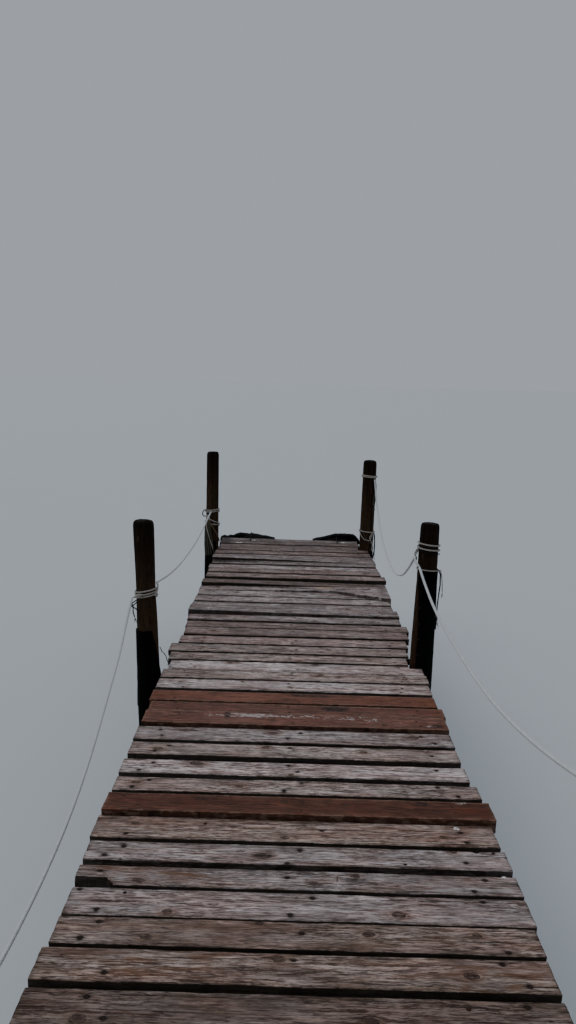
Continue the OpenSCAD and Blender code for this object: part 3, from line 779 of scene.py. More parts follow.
def solids_of(node: str) -> list[Solid]:
    """Loose solids of a CAD node.

    Args:
        node: name of the node.

    Returns:
        Each solid with its sharp corners and edges.
    """
    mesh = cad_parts[node].data
    points = np.array([vertex.co[:] for vertex in mesh.vertices])
    corners, number = np.unique(np.round(points, 5), axis=0, return_inverse=True)
    number = number.reshape(-1)
    edges = np.unique(np.sort(number[np.array([edge.vertices[:] for edge in mesh.edges])], axis=1), axis=0)
    edges = edges[edges[:, 0] != edges[:, 1]]
    root = np.arange(len(corners))
    for _ in range(len(corners)):
        low = np.minimum(root[edges[:, 0]], root[edges[:, 1]])
        before = root.copy()
        np.minimum.at(root, edges[:, 0], low)
        np.minimum.at(root, edges[:, 1], low)
        if (root == before).all():
            break
    out = []
    for value in np.unique(root):
        mine = np.flatnonzero(root == value)
        local = {int(n): k for k, n in enumerate(mine)}
        own = [(local[int(p)], local[int(q)]) for p, q in edges if int(p) in local]
        out.append(Solid(corners[mine], np.array(own)))
    return out


def nearest_knot(along: np.ndarray, across: np.ndarray, knots: list[tuple[float, ...]]) -> np.ndarray:
    """Where each point lies from the nearest knot, for the grain to bend round.

    Args:
        along: place of each point along the timber.
        across: its place across.
        knots: place along, place across and radius of each knot.

    Returns:
        Distance along, distance across and the knot's radius. Points far off along the timber get a
        large distance across, so that no knot shows where the nearest one changes.
    """
    out = np.stack([np.ones_like(along), np.ones_like(along), np.full_like(along, 0.01)], -1)
    best = np.full_like(along, np.inf)
    for at, over, size in knots:
        gap = np.abs(along - at)
        nearer = gap < best
        best = np.where(nearer, gap, best)
        mine = np.stack([along - at, np.where(gap > 0.09, 1.0, across - over), np.full_like(along, size)], -1)
        out = np.where(nearer[..., None], mine, out)
    return out


def metres(*sizes: float) -> tuple[float, ...]:
    """Sizes given in millimetres, in metres."""
    return tuple(size / 1000 for size in sizes)


@dataclass(frozen=True)
class Wear:
    """How rough a piece of timber is, in metres.

    Arris is the rounding of its edges. Wave and cup are the waves and the hollow of its top, and side and
    rag what its sides and ends lose. Split is the depth of its cracks, step the room between its sections,
    and torn how ragged the edge is where a corner has split off.
    """

    arris: float = 0.004
    wave: float = 0.0010
    cup: float = 0.0016
    side: float = 0.0016
    rag: float = 0.0022
    split: float = 0.011
    step: float = 0.014
    torn: float = 0.0


@dataclass(frozen=True)
class Patch:
    """A soft-edged patch on a board: its middle and half sizes, along and across, in mm, and its strength."""

    x: float
    y: float
    half_x: float
    half_y: float
    strength: float = 1.0

    def mask(self, x: np.ndarray, y: np.ndarray) -> np.ndarray:
        """The patch's strength at points in metres: whole to 0.8 of its size, and gone at 1.4 times it."""
        away = np.hypot((1000 * x - self.x) / self.half_x, (1000 * y - self.y) / self.half_y)
        return np.interp(away, (0.8, 1.4), (self.strength, 0.0))


Patches = tuple[Patch, ...]


def strongest(patches: Patches, x: np.ndarray, y: np.ndarray) -> np.ndarray:
    """Strength of the strongest patch at each point."""
    return np.max([np.zeros_like(x), *(patch.mask(x, y) for patch in patches)], axis=0)


# Where the photograph shows paint, dark smudges (in places painted shade of the gap between two boards) and
# brown worn spots, by the board's place from the lake end
PAINT: dict[int, Patches] = {
    13: (Patch(215, 2783, 60, 18, 0.66),),
    29: (Patch(-200, 576, 180, 24, 0.555), Patch(20, 578, 120, 22, 0.52), Patch(-360, 572, 60, 22, 0.50),
         Patch(220, 575, 180, 26, 0.49), Patch(600, 512, 30, 14, 0.56), Patch(360, 560, 70, 20, 0.47)),
    34: (Patch(600, -150, 50, 12, 0.47), Patch(100, -140, 40, 8, 0.48)),
}
SMEARS_AND_GAP_SHADE: dict[int, Patches] = {
    0: (Patch(-640, 4460, 60, 110, 0.9),),
    1: (Patch(-640, 4340, 50, 110, 0.9),),
    7: (Patch(-580, 3575, 110, 45), Patch(-420, 3580, 130, 28), Patch(-250, 3575, 140, 14)),
    # Along row 12's shore edge: painted shade of the gap to row 13
    12: (Patch(-250, 2806, 300, 10),),
    13: (Patch(-160, 2778, 160, 15), Patch(20, 2760, 120, 14), Patch(380, 2748, 100, 15),
         Patch(550, 2748, 110, 15)),
    22: (Patch(-100, 1480, 60, 20, 0.5),),
    24: (Patch(115, 1250, 40, 20, 0.6),),
    27: (Patch(70, 835, 100, 20, 0.8),),
    28: (Patch(182, 682, 60, 24),),
    29: (Patch(628, 519, 24, 12, 0.8), Patch(-300, 575, 9, 40)),
    32: (Patch(20, 100, 10, 8, 0.9), Patch(-385, 130, 40, 20, 0.5)),
    34: (Patch(448, -162, 34, 12), Patch(-320, -165, 40, 12, 0.7)),
    36: (Patch(-100, -480, 30, 22, 0.6),),
    37: (Patch(185, -592, 30, 12, 0.7), Patch(60, -620, 25, 10, 0.6)),
}
WORN_SPOTS: dict[int, Patches] = {
    13: (Patch(220, 2780, 80, 30, 0.8),),
    34: (Patch(-351, -206, 50, 30), Patch(200, -220, 120, 20, 0.5)),
    37: (Patch(-440, -600, 160, 40, 0.6),),
    40: (Patch(-300, -960, 160, 80, 0.35), Patch(500, -980, 100, 50, 0.4)),
}
# Sections before and after a nail, and columns beside it, so that its pit has a round rim
NAIL_STEPS = (-0.014, -0.0075, -0.0045, -0.002, 0.002, 0.0045, 0.0075, 0.014)
NAIL_COLUMNS = (-0.009, -0.0045, 0.0, 0.0045, 0.009)
# Share of the solid's notch that the split in the broken board takes
SPLIT_SHARE = 0.72
# Width over which the lake side of a board falls away
FALL_REACH = 0.030


@dataclass
class Timber:
    """A board or beam that is worn, checked and split, in the space of one CAD solid.

    Axis is that of its length, 0 or 1. Nails are (along, across), and knots (along, across, radius). Trim is
    what its shore and its lake side lose, and fall what the top sinks along its lake side.
    """

    name: str
    solid: Solid
    finish: Finish
    wear: Wear
    seed: int
    axis: int = 0
    nails: list[tuple[float, float]] = field(default_factory=list)
    knots: list[tuple[float, float, float]] = field(default_factory=list)
    tint: Colour = (1.0, 1.0, 1.0)
    warmth: float = 0.6
    patchy: float = 0.12
    # Share of the painted shade on the sides and underside
    damp: float = 1.0
    rust: float = 1.0
    trim: tuple[float, float] = (0.0, 0.0)
    fall: float = 0.0
    paint: Patches = ()
    smears_and_gap_shade: Patches = ()
    worn_spots: Patches = ()

    def stations(self) -> np.ndarray:
        """Places along the timber where its section is set, closer by nails, ends and steps.

        Returns:
            The places, in order.
        """
        low, high = self.solid.low()[self.axis], self.solid.high()[self.axis]
        inner = np.unique(np.round(self.solid.corners[:, self.axis], 4))
        places = list(np.arange(low + self.wear.step, high - self.wear.step * 0.6, self.wear.step))
        if self.wear.torn:
            places += list(np.arange(low + 0.004, low + 0.135, 0.0035))
        for nail, _ in self.nails:
            places = [p for p in places if abs(p - nail) > 0.017] + [nail + step for step in NAIL_STEPS]
        for step in inner[(inner > low + 0.004) & (inner < high - 0.004)]:
            places = [p for p in places if abs(p - step) > 0.003] + [step - 0.0012, step + 0.0012]
        places = [p for p in places if low + 0.0065 < p < high - 0.0065]
        places += [end for d in (0.0001, 0.0022, 0.006) for end in (low + d, high - d)]
        return np.array(sorted(places))

    def build(self, *replaced: str) -> bpy.types.Object:
        """Makes the piece.

        Args:
            replaced: CAD nodes that it stands for.

        Returns:
            The new object.
        """
        s = self.stations()
        uneven = Uneven(self.seed)
        low, high, bottom, top = self.solid.cut(self.axis, s).T
        end = np.minimum(s - s[0], s[-1] - s)
        tracks = self.tracks(s, high - low, uneven)
        inset = np.zeros_like(s)
        inset[[0, -1]] = 0.0016
        low, high, bottom, top = low + inset, high - inset, bottom + inset, top - inset
        low, torn = self.split_corner(s, low)
        slant = (torn > 0.003) & (torn < torn.max() * 0.93)
        ragged = np.where(slant, 1.0, 0.15 * (torn > 0.003)) * self.wear.torn
        side_low = np.abs(uneven.line(s, 0.11)) * self.wear.side + np.abs(uneven.line(s, 0.007)) * ragged
        side_high = np.abs(uneven.line(s, 0.09)) * self.wear.side
        low, high = low + side_low + self.trim[0], high - side_high - self.trim[1]
        chip_low, chip_high = self.chips(s, uneven), self.chips(s, uneven)
        inner, cracks = self.columns(low + chip_low, high - chip_high, tracks)
        y = np.stack([low + chip_low, *inner, high - chip_high], 1)
        worn = self.worn_top(s, y, low, high, uneven)
        z = top[:, None] - worn - self.crack_depth(s, end, cracks, y.shape[1], uneven)
        arris, mid = min(self.wear.arris, 0.003), (bottom + top) / 2
        bulge = uneven.line(s, 0.05) * self.wear.side * 0.5
        foot = low - np.minimum(torn * 0.4, 0.011) * (0.7 + 0.3 * uneven.line(s, 0.006))
        shore_top, lake_top = top - worn[:, 0], top - worn[:, -1]
        outline = [(foot, bottom + arris), ((low + foot) / 2 + bulge * (bulge > 0), mid),
                   (low, shore_top - chip_low), (low + 0.3 * chip_low, shore_top - 0.3 * chip_low),
                   *zip(y.T, z.T),
                   (high - 0.3 * chip_high, lake_top - 0.3 * chip_high), (high, lake_top - chip_high),
                   (high - np.abs(bulge), mid), (high, bottom + arris), (high - arris, bottom),
                   ((low + high) / 2, bottom), (foot + arris, bottom)]
        ring_y, ring_z = (np.stack(part, 1) for part in zip(*outline))
        ragged = np.abs(uneven.field(ring_y, ring_z, 0.013, 0.02)) * self.wear.rag
        ring_s = np.repeat(s[:, None], ring_y.shape[1], 1)
        ring_s[:3] += ragged[:3]
        ring_s[-3:] -= ragged[-3:]
        shape = self.dressed((ring_s, ring_y, ring_z), end, torn, y.shape[1], uneven)
        return shape.piece(self.name, self.finish, *replaced)

    def split_corner(self, s: np.ndarray, low: np.ndarray) -> tuple[np.ndarray, np.ndarray]:
        """The shore side, where a corner may have split off in a slant across the grain.

        Args:
            s: stations along the timber.
            low: its shore side at each, as the solid has it.

        Returns:
            The shore side that the piece gets, and how far in it is from the rest of that side.
        """
        if not self.wear.torn:
            return low, np.zeros_like(s)
        nominal = float(np.median(low))
        notch = float((low - nominal).max())
        corner = float(s[low - nominal > notch / 2].max()) + 0.006
        low = nominal + SPLIT_SHARE * notch * np.clip(0.5 - (s - corner) / 0.032, 0, 1)
        return low, low - nominal

    def chips(self, s: np.ndarray, uneven: Uneven) -> np.ndarray:
        """Rounding of one upper edge at each station, with a chip here and there."""
        return self.wear.arris * (
            1 + 0.5 * uneven.line(s, 0.07) + 2.2 * np.clip(uneven.line(s, 0.03) - 0.72, 0, 1))

    def worn_top(self, s: np.ndarray, y: np.ndarray, low: np.ndarray, high: np.ndarray,
                 uneven: Uneven) -> np.ndarray:
        """What the top has lost: waves, a hollow, a fallen side, and a pit at each nail.

        Args:
            s: stations along the timber.
            y: places across the top, by station.
            low, high: the two sides at each station.
            uneven: the timber's draws.

        Returns:
            Depth at each point of the top.
        """
        share = (y - low[:, None]) / (high - low)[:, None]
        wave = 0.8 * uneven.field(s[:, None], y, 0.21, 0.05) + 0.7 * uneven.field(s[:, None], y, 0.07, 0.009)
        cup = self.wear.cup * uneven.pick(-1, 1)
        worn = self.wear.wave * (wave + 1.5) + abs(cup) * (1 - (2 * share - 1) ** 2)
        worn = np.maximum(worn, 0.0) + self.fall * np.clip(1 - (high[:, None] - y) / FALL_REACH, 0, 1)
        for nail_s, nail_y in self.nails:
            reach = np.hypot(s[:, None] - nail_s, y - nail_y)
            worn = worn + 0.0022 * np.clip(1.7 - reach / 0.0048, 0, 1)
        return worn

    def tracks(self, s: np.ndarray, width: np.ndarray, uneven: Uneven) -> list[tuple]:
        """Lines of nails and cracks that run the length of the timber.

        Args:
            s: stations along the timber.
            width: its width at each.
            uneven: the timber's draws.

        Returns:
            In order across: a line's share of the width, its columns' offsets, and whether it is a crack.
        """
        out = []
        full = float(np.max(width))
        squeeze = np.clip(width / full, 0.2, 1)
        base = self.solid.low()[1 - self.axis]
        nails = sorted((along, (across - base) / full) for along, across in self.nails)
        for shore in (True, False):
            mine = [nail for nail in nails if (nail[1] < 0.5) == shore]
            if mine:
                out.append((np.interp(s, *zip(*mine)), [d * squeeze for d in NAIL_COLUMNS], False))
        middles = [uneven.pick(0.47, 0.53),
                   uneven.pick(0.08, 0.10) if uneven.pick(0, 1) < 0.5 else uneven.pick(0.9, 0.92)]
        for middle in middles if self.nails else (uneven.pick(0.3, 0.4), uneven.pick(0.6, 0.7)):
            share = middle + 0.018 * uneven.line(s, 0.16) + 0.004 * uneven.line(s, 0.02)
            half = 0.0011 * squeeze
            out.append((share, [-half, 0.0 * squeeze, half], True))
        return sorted(out, key=lambda track: float(np.mean(track[0])))

    @staticmethod
    def columns(low: np.ndarray, high: np.ndarray, tracks: list[tuple]) -> tuple[list[np.ndarray], list[int]]:
        """Positions across the top: the tracks' own lines and what fills the room between.

        Args:
            low, high: where the flat of the top begins and ends, at each station.
            tracks: the lines of nails and cracks, in order.

        Returns:
            The positions in order, and the numbers of those that are the bottom of a crack.
        """
        out: list[np.ndarray] = []
        cracks: list[int] = []
        before = low
        for share, offsets, crack in tracks + [(np.ones_like(low), [0.0], False)]:
            centre = low + (high - low) * share
            first = centre + offsets[0]
            more = int(np.clip(np.median(first - before) / 0.014 - 0.5, 0, 6))
            out += [before + (first - before) * (k + 1) / (more + 1) for k in range(more)]
            if crack:
                cracks.append(len(out) + 1)
            out += [centre + offset for offset in offsets]
            before = centre + offsets[-1]
        return out[:-1], cracks

    def crack_depth(self, s: np.ndarray, end: np.ndarray, cracks: list[int], count: int,
                    uneven: Uneven) -> np.ndarray:
        """How deep the cracks are.

        Args:
            s: stations along the timber.
            end: distance of each from the nearer end.
            cracks: numbers of the lines that are the bottom of a crack.
            count: points across the top.
            uneven: the timber's draws.

        Returns:
            Depth at each point of the top.
        """
        out = np.zeros((len(s), count))
        for crack in cracks:
            near_end = np.clip(1 - end / uneven.pick(0.10, 0.30), 0, 1) ** 1.5
            along = np.clip(uneven.line(s, uneven.pick(0.2, 0.4)) - 0.35, 0, 1) * 1.2
            depth = np.clip(near_end * uneven.pick(0.3, 1.0) + along * 0.5, 0, 1)
            out[:, crack + 1] = self.wear.split * depth
        return out

    def dressed(self, rings: tuple[np.ndarray, np.ndarray, np.ndarray], end: np.ndarray, torn: np.ndarray,
                tops: int, uneven: Uneven) -> Shape:
        """Turns the sections into a mesh, with what its finish reads at each point.

        Args:
            rings: place along, across and up of each point, by section.
            end: distance of each section from the nearer end.
            torn: how far in the split side is at each section.
            tops: number of points across the top.
            uneven: the timber's draws.

        Returns:
            The mesh in the making.
        """
        s, y, z = rings
        middle = (self.solid.low() + self.solid.high()) / 2
        pith_y, pith_z = uneven.pick(-0.05, 0.05), uneven.pick(0.02, 0.11)
        grain = np.stack([s + uneven.pick(-40, 40), y - middle[1 - self.axis] + pith_y,
                          z - middle[2] - pith_z], -1)
        on_top = np.zeros(y.shape[1])
        on_top[3:5 + tops] = 1
        # Painted shade on the sides and underside, so that the gaps between the boards look dark; the two end
        # sections are darkened at least half as much all round
        side = np.repeat((1 - on_top)[None], len(y), 0) * self.damp
        side[[0, -1]] = np.maximum(side[[0, -1]], 0.5)
        gap = np.minimum(y - y.min(1)[:, None], y.max(1)[:, None] - y)
        edge = np.exp(-np.minimum(gap, end[:, None]) / 0.0065)
        stain = np.zeros_like(y)
        for nail_s, nail_y in self.nails:
            ds, dy = np.abs(s - nail_s), np.abs(y - nail_y)
            stain = np.maximum(stain, np.clip(1.9 - np.hypot(ds * 0.8, dy) / 0.0056, 0, 1))
            stain = np.maximum(stain, 0.7 * np.exp(-ds / 0.022) * np.clip(1.4 - dy / 0.007, 0, 1))
        raw = self.warmth + 0.9 * (np.exp(-np.clip(0.04 - torn, 0, 1) / 0.01) * (torn > 0.002))[:, None]
        raw = raw + 1.4 * strongest(self.worn_spots, s, y)
        if self.finish is Finish.STAINED:
            raw += 0.9 * np.clip(1 - (s.max() - s) / 0.22, 0, 1)
            raw += 0.7 * np.clip(1 - end / 0.06, 0, 1)[:, None]
        mottled = 1 + self.patchy * (uneven.field(s, y, 0.16, 0.045) + uneven.field(s, y, 0.05, 0.02))
        lies_across = self.axis == 0
        shape = Shape()
        shape.add(np.stack([s, y, z] if lies_across else [y, s, z], -1), capped(*y.shape, flip=lies_across),
                  grain_at=grain, side=side, edge=edge, stain=stain * on_top * self.rust,
                  tint=mottled[..., None] * np.array(self.tint), paint=strongest(self.paint, s, y),
                  smear=strongest(self.smears_and_gap_shade, s, y), warmth=raw, knot_at=nearest_knot(s, y, self.knots))
        return shape


# Knots and nails that the photograph shows, by the board's place from the lake end, in millimetres
KNOWN_KNOTS = {
    23: ((405, 1350, 9),), 24: ((115, 1255, 10),), 25: ((135, 1095, 11), (565, 1075, 9)),
    30: ((-90, 415, 13), (505, 410, 15)), 31: ((-555, 235, 13), (-120, 270, 11), (280, 255, 10)),
    32: ((-385, 130, 16),), 35: ((-35, -370, 10),), 36: ((510, -430, 8), (-100, -480, 14)),
    37: ((-470, -620, 11), (55, -610, 8), (185, -570, 9)), 38: ((295, -740, 13), (660, -675, 7)),
    39: ((-405, -860, 10), (200, -825, 11), (-100, -795, 7), (500, -820, 9)),
    40: ((450, -975, 13),), 41: ((180, -1125, 11), (-515, -1145, 13)),
}
KNOWN_NAILS = {
    27: ((615, 760), (550, 735)),
    30: ((-575, 420), (-560, 365), (25, 420), (-30, 370), (590, 360), (540, 420)),
    31: ((555, 240),), 32: ((-555, 130), (-600, 65), (-25, 135), (10, 85), (555, 130)),
    33: ((535, -10), (600, -70), (-545, -15), (-600, -65), (25, -5), (-40, -65)),
    34: ((-610, -160), (-550, -220)), 35: ((-305, -300), (-560, -370), (90, -320)),
    36: ((585, -425), (640, -430), (540, -485), (345, -505), (-550, -450), (-600, -500), (15, -445),
         (-25, -515)),
    37: ((580, -570), (535, -625), (-595, -580), (-25, -585)),
    38: ((550, -670), (-635, -665), (-585, -680), (-500, -675), (-565, -750), (50, -675), (-15, -750)),
    39: ((570, -880), (-545, -805), (-580, -870)), 40: ((540, -930), (590, -1005), (-485, -1000)),
    41: ((420, -1080), (-510, -1075), (-455, -1140)),
}
# Chalky drops: place along and across, and size, in millimetres
SPATTER = ((545, -284, 10), (640, -553, 6), (-390, 4455, 26), (-500, 4335, 22), (466, 4472, 20))
# What the shore and the lake side of a board lose, in millimetres
TRIMS = {10: (4, 0), 12: (0, 6), 27: (6, 0), 28: (2, 4), 31: (0, 8), 32: (12, -4), 33: (3, -5), 34: (0, 8),
         36: (0, 6), 38: (4, 0), 39: (6, 0), 40: (-6, 8)}
STAINED_TINTS = {27: (1.65, 1.78, 1.85), 28: (1.36, 1.60, 1.85), 29: (1.55, 1.90, 2.25),
                 34: (0.95, 0.95, 0.95)}
# Share of the usual painted shade on the sides of some boards
SHADED_SIDES = {12: 0.95, 13: 0.25, 17: 0.85, 34: 0.8, 36: 0.9}


class Shade(Enum):
    """How pale a board is beside the others."""

    DEEP = 0.58
    DIM = 0.68
    DULL = 0.84
    MIDDLE = 0.98
    BRIGHT = 1.18
    WHITENED = 1.72


class Hue(Enum):
    """Cast of a board's grey."""

    WARM = (1.04, 0.98, 0.93)
    ROSY = (0.94, 0.88, 0.88)
    PLAIN = (1.06, 1.06, 1.05)
    LILAC = (1.03, 1.07, 1.13)


SHADES: dict[Shade, tuple[int, ...]] = {
    Shade.DEEP: (1, 12, 41),
    Shade.DIM: (0, 2, 3),
    Shade.DULL: (4, 5, 7, 9, 17, 19, 20, 39),
    Shade.MIDDLE: (6, 10, 16, 18, 22, 37, 40),
    Shade.BRIGHT: (8, 13, 14, 15, 21, 23, 25, 30, 31, 33, 35, 36, 38),
    Shade.WHITENED: (24, 26, 32),
}
HUES: dict[Hue, tuple[int, ...]] = {
    Hue.ROSY: (1, 2, 3, 4, 9, 10, 12, 19, 20, 21),
    Hue.WARM: (35, 39, 40, 41, 42, 43, 45, 46, 49, 50, 54, 56, 57, 60, 63, 66),
    Hue.PLAIN: (22, 23, 25, 31, 33, 47, 52, 58, 61),
}
Spots = list[tuple[float, ...]]


@dataclass
class Deck:
    """The boards across the jetty, in the order in which they are met from the lake end.

    From the row behind on, the boards lie behind the camera. Before the row afar they are far from it, and
    before the row blotched their grey is more blotched.
    """

    missing: int = 11
    broken: int = 37
    thick_stained: int = 34
    behind: int = 45
    afar: int = 27
    blotched: int = 24
    ripped_width: float = 0.11
    brown: tuple[int, ...] = (12, 35, 37, 39, 40, 41, 43, 50, 57, 63)
    nodes: tuple[str, ...] = ("boards_shore", "boards_middle", "boards_lake", "new_boards", "thick_boards",
                              "broken_board", "ripped_board")
    nail_tops: Spots = field(default_factory=list)
    loose_nails: Spots = field(default_factory=list)
    drops: Spots = field(default_factory=list)

    def build(self) -> None:
        """Makes one piece for each board, then the nails and the drops."""
        found = [(solid, node) for node in self.nodes for solid in solids_of(node)]
        # The ripped board lies askew, so its place in the order is worked out from its lake side
        found.sort(key=lambda item: -item[0].low()[1] - item[0].high()[1] if item[1] != "ripped_board"
                   else -2 * item[0].high()[1] + self.ripped_width)
        for count, (solid, node) in enumerate(found):
            self.board(count + (count >= self.missing), solid, node)
        self.nail_heads()
        self.spatter()

    def board(self, row: int, solid: Solid, node: str) -> None:
        """Makes one board, and notes where its nails and its drops lie.

        Args:
            row: its place in the order.
            solid: its CAD solid.
            node: the CAD node that the solid is in.
        """
        uneven = Uneven(900 + row)
        stained = node == "new_boards"
        low, high = solid.low(), solid.high()
        width = min(high[1] - low[1], 0.15)
        knots = self.knots(row, low, high, width, uneven)
        nails = self.nails(row, low, high, width, uneven)
        usual = Shade.MIDDLE.value if row < self.behind else uneven.pick(0.70, 1.25)
        shade = next((shade.value for shade, rows in SHADES.items() if row in rows), usual)
        shade *= uneven.pick(0.95, 1.05)
        hue = next((hue for hue, rows in HUES.items() if row in rows), Hue.LILAC)
        warmth = uneven.pick(0.65, 0.9) if row in self.brown else uneven.pick(0.15, 0.40)
        torn = 0.006 if row == self.broken else 0.0
        if stained:
            wear = Wear(arris=0.0018, wave=0.0004, split=0.004)
        else:
            wear = Wear(arris=uneven.pick(0.0014, 0.0024), wave=0.0007, split=0.012, torn=torn,
                        step=0.014 if row < self.behind else 0.026)
        timber = Timber(
            f"deck_board_{row:02d}", solid, Finish.STAINED if stained else Finish.SILVER, wear, 100 + row,
            nails=nails, knots=knots, warmth=warmth, patchy=0.26 if row < self.blotched else 0.14,
            tint=STAINED_TINTS[row] if stained else tuple(shade * part for part in hue.value),
            damp=SHADED_SIDES.get(row, 1.0), rust=self.rust(row, stained),
            fall=0.006 if row == self.missing + 1 else 0.0,
            trim=metres(*TRIMS.get(row, (2.5, 0) if row < self.afar else (0, 0))),
            paint=PAINT.get(row, ()), smears_and_gap_shade=SMEARS_AND_GAP_SHADE.get(row, ()), worn_spots=WORN_SPOTS.get(row, ()))
        timber.build(node)
        self.nail_tops += [spot for spot in self.on_top(solid, nails) if uneven.pick(0, 1) > 0.06]
        others = [metres(*nail) for nail in KNOWN_NAILS.get(row, ())]
        self.loose_nails += self.on_top(solid, [nail for nail in others if nail not in nails])
        self.drops += self.on_top(solid, [drop for drop in (metres(*spot) for spot in SPATTER)
                                          if low[1] < drop[1] < high[1]])

    def rust(self, row: int, stained: bool) -> float:
        """How far the rust of a board's nails has run.

        Args:
            row: number of the board.
            stained: whether it is one of the red-brown boards.

        Returns:
            Share of the rust that an old board near the camera has.
        """
        if row == self.thick_stained:
            return 0.3
        return 0.45 if stained else 0.55 if row < self.afar else 1.0

    @staticmethod
    def on_top(solid: Solid, spots: Spots) -> Spots:
        """Spots with the height of the board's top there as one more value."""
        tops = solid.cut(0, np.array([spot[0] for spot in spots]))[:, 3] if spots else ()
        return [(*spot, float(top)) for spot, top in zip(spots, tops)]

    @staticmethod
    def knots(row: int, low: np.ndarray, high: np.ndarray, width: float, uneven: Uneven) -> Spots:
        """The knots in a board: those that are known, and drawn ones well away from them.

        Args:
            row: the board's place in the order.
            low, high: corners of its box.
            width: width that the knots are spread over.
            uneven: the board's draws.

        Returns:
            Place along and across, and radius, of each.
        """
        knots = [metres(*knot) for knot in KNOWN_KNOTS.get(row, ())]
        at = low[0] + uneven.pick(0.06, 0.35)
        while at < high[0] - 0.05:
            if all(abs(at - knot[0]) > 0.2 for knot in knots) and uneven.pick(0, 1) < 0.5:
                knots.append((at, high[1] - width * uneven.pick(0.12, 0.88), uneven.pick(0.005, 0.0115)))
            at += uneven.pick(0.22, 0.50)
        return knots

    @staticmethod
    def nails(row: int, low: np.ndarray, high: np.ndarray, width: float, uneven: Uneven) -> Spots:
        """The nails that hold a board to each stringer, two to a stringer.

        Args:
            row: the board's place in the order.
            low, high: corners of its box.
            width: width that the nails are spread over.
            uneven: draws for where no nail is known.

        Returns:
            Place along and across of each.
        """
        known = [metres(*nail) for nail in KNOWN_NAILS.get(row, ())]
        out = []
        for x in STRINGERS_X:
            if not low[0] + 0.03 < x < high[0] - 0.03:
                continue
            for share in (0.26, 0.74):
                drawn = (x + uneven.pick(-0.030, 0.030),
                         high[1] - width * (1 - share) + uneven.pick(-0.014, 0.014))
                here = [nail for nail in known if abs(nail[0] - x) < 0.11]
                near = [nail for nail in here if low[0] + 0.02 < nail[0] < high[0] - 0.02
                        and ((nail[1] - low[1]) / (high[1] - low[1]) < 0.5) == (share < 0.5)]
                if near:
                    out.append(near[0])
                elif not here and uneven.pick(0, 1) < (0.9 if x else 0.6):
                    out.append(drawn)
        return out

    def spatter(self) -> None:
        """Chalky white drops that lie on a few boards."""
        uneven = Uneven(77)
        shape = Shape()
        turn = circle(16)
        for x, y, size, top in self.drops:
            for _ in range(4):
                dx, dy = uneven.pick(-1, 1) * size, uneven.pick(-1, 1) * size * 0.6
                r = size * uneven.pick(0.35, 0.8)
                r = r * (1 + 0.35 * np.cos(2 * turn + uneven.pick(0, 6))
                         + 0.2 * np.cos(5 * turn + uneven.pick(0, 6)))
                rings = [np.stack([x + dx + share * r * np.cos(turn), y + dy + share * r * np.sin(turn),
                                   np.full_like(turn, top + lift)], -1)
                         for share, lift in ((1.0, -0.003), (0.9, -0.0008), (0.4, -0.0004))]
                shape.add(np.concatenate(rings), capped(len(rings), len(turn), foot=False))
        shape.piece("chalky_drops", Finish.CHALK)

    def nail_heads(self) -> None:
        """Sinks a rusty head into each pit in the boards, and lays worn ones beside them."""
        shape = Shape()
        turn = circle(10)
        driven = ((0.0041, -0.004), (0.0041, 0.0), (0.0034, 0.0004), (0.0015, 0.0006))
        worn = ((0.0062, -0.003), (0.0060, 0.0), (0.0048, 0.0003), (0.0020, 0.0001))
        for nails, rings, depth, stretch in ((self.nail_tops, driven, 0.0030, 1.0),
                                             (self.loose_nails, worn, 0.0012, 1.15)):
            for x, y, z in nails:
                points = [(x + stretch * r * math.cos(t), y + r * math.sin(t), z - depth + h)
                          for r, h in rings for t in turn]
                shape.add(points, capped(len(rings), len(turn), foot=False))
        shape.piece("deck_nails", Finish.IRON)


# A bolt's plate washer, nut and end: corners, turn in degrees, and (radius, distance out) of each ring
BOLT = (
    (4, 45.0, ((0.026, 0.0), (0.026, 0.0035), (0.0245, 0.0045))),
    (6, 0.0, ((0.0135, 0.004), (0.0135, 0.012), (0.0115, 0.0135))),
    (12, 0.0, ((0.0065, 0.012), (0.0065, 0.020), (0.005, 0.0215))),
)


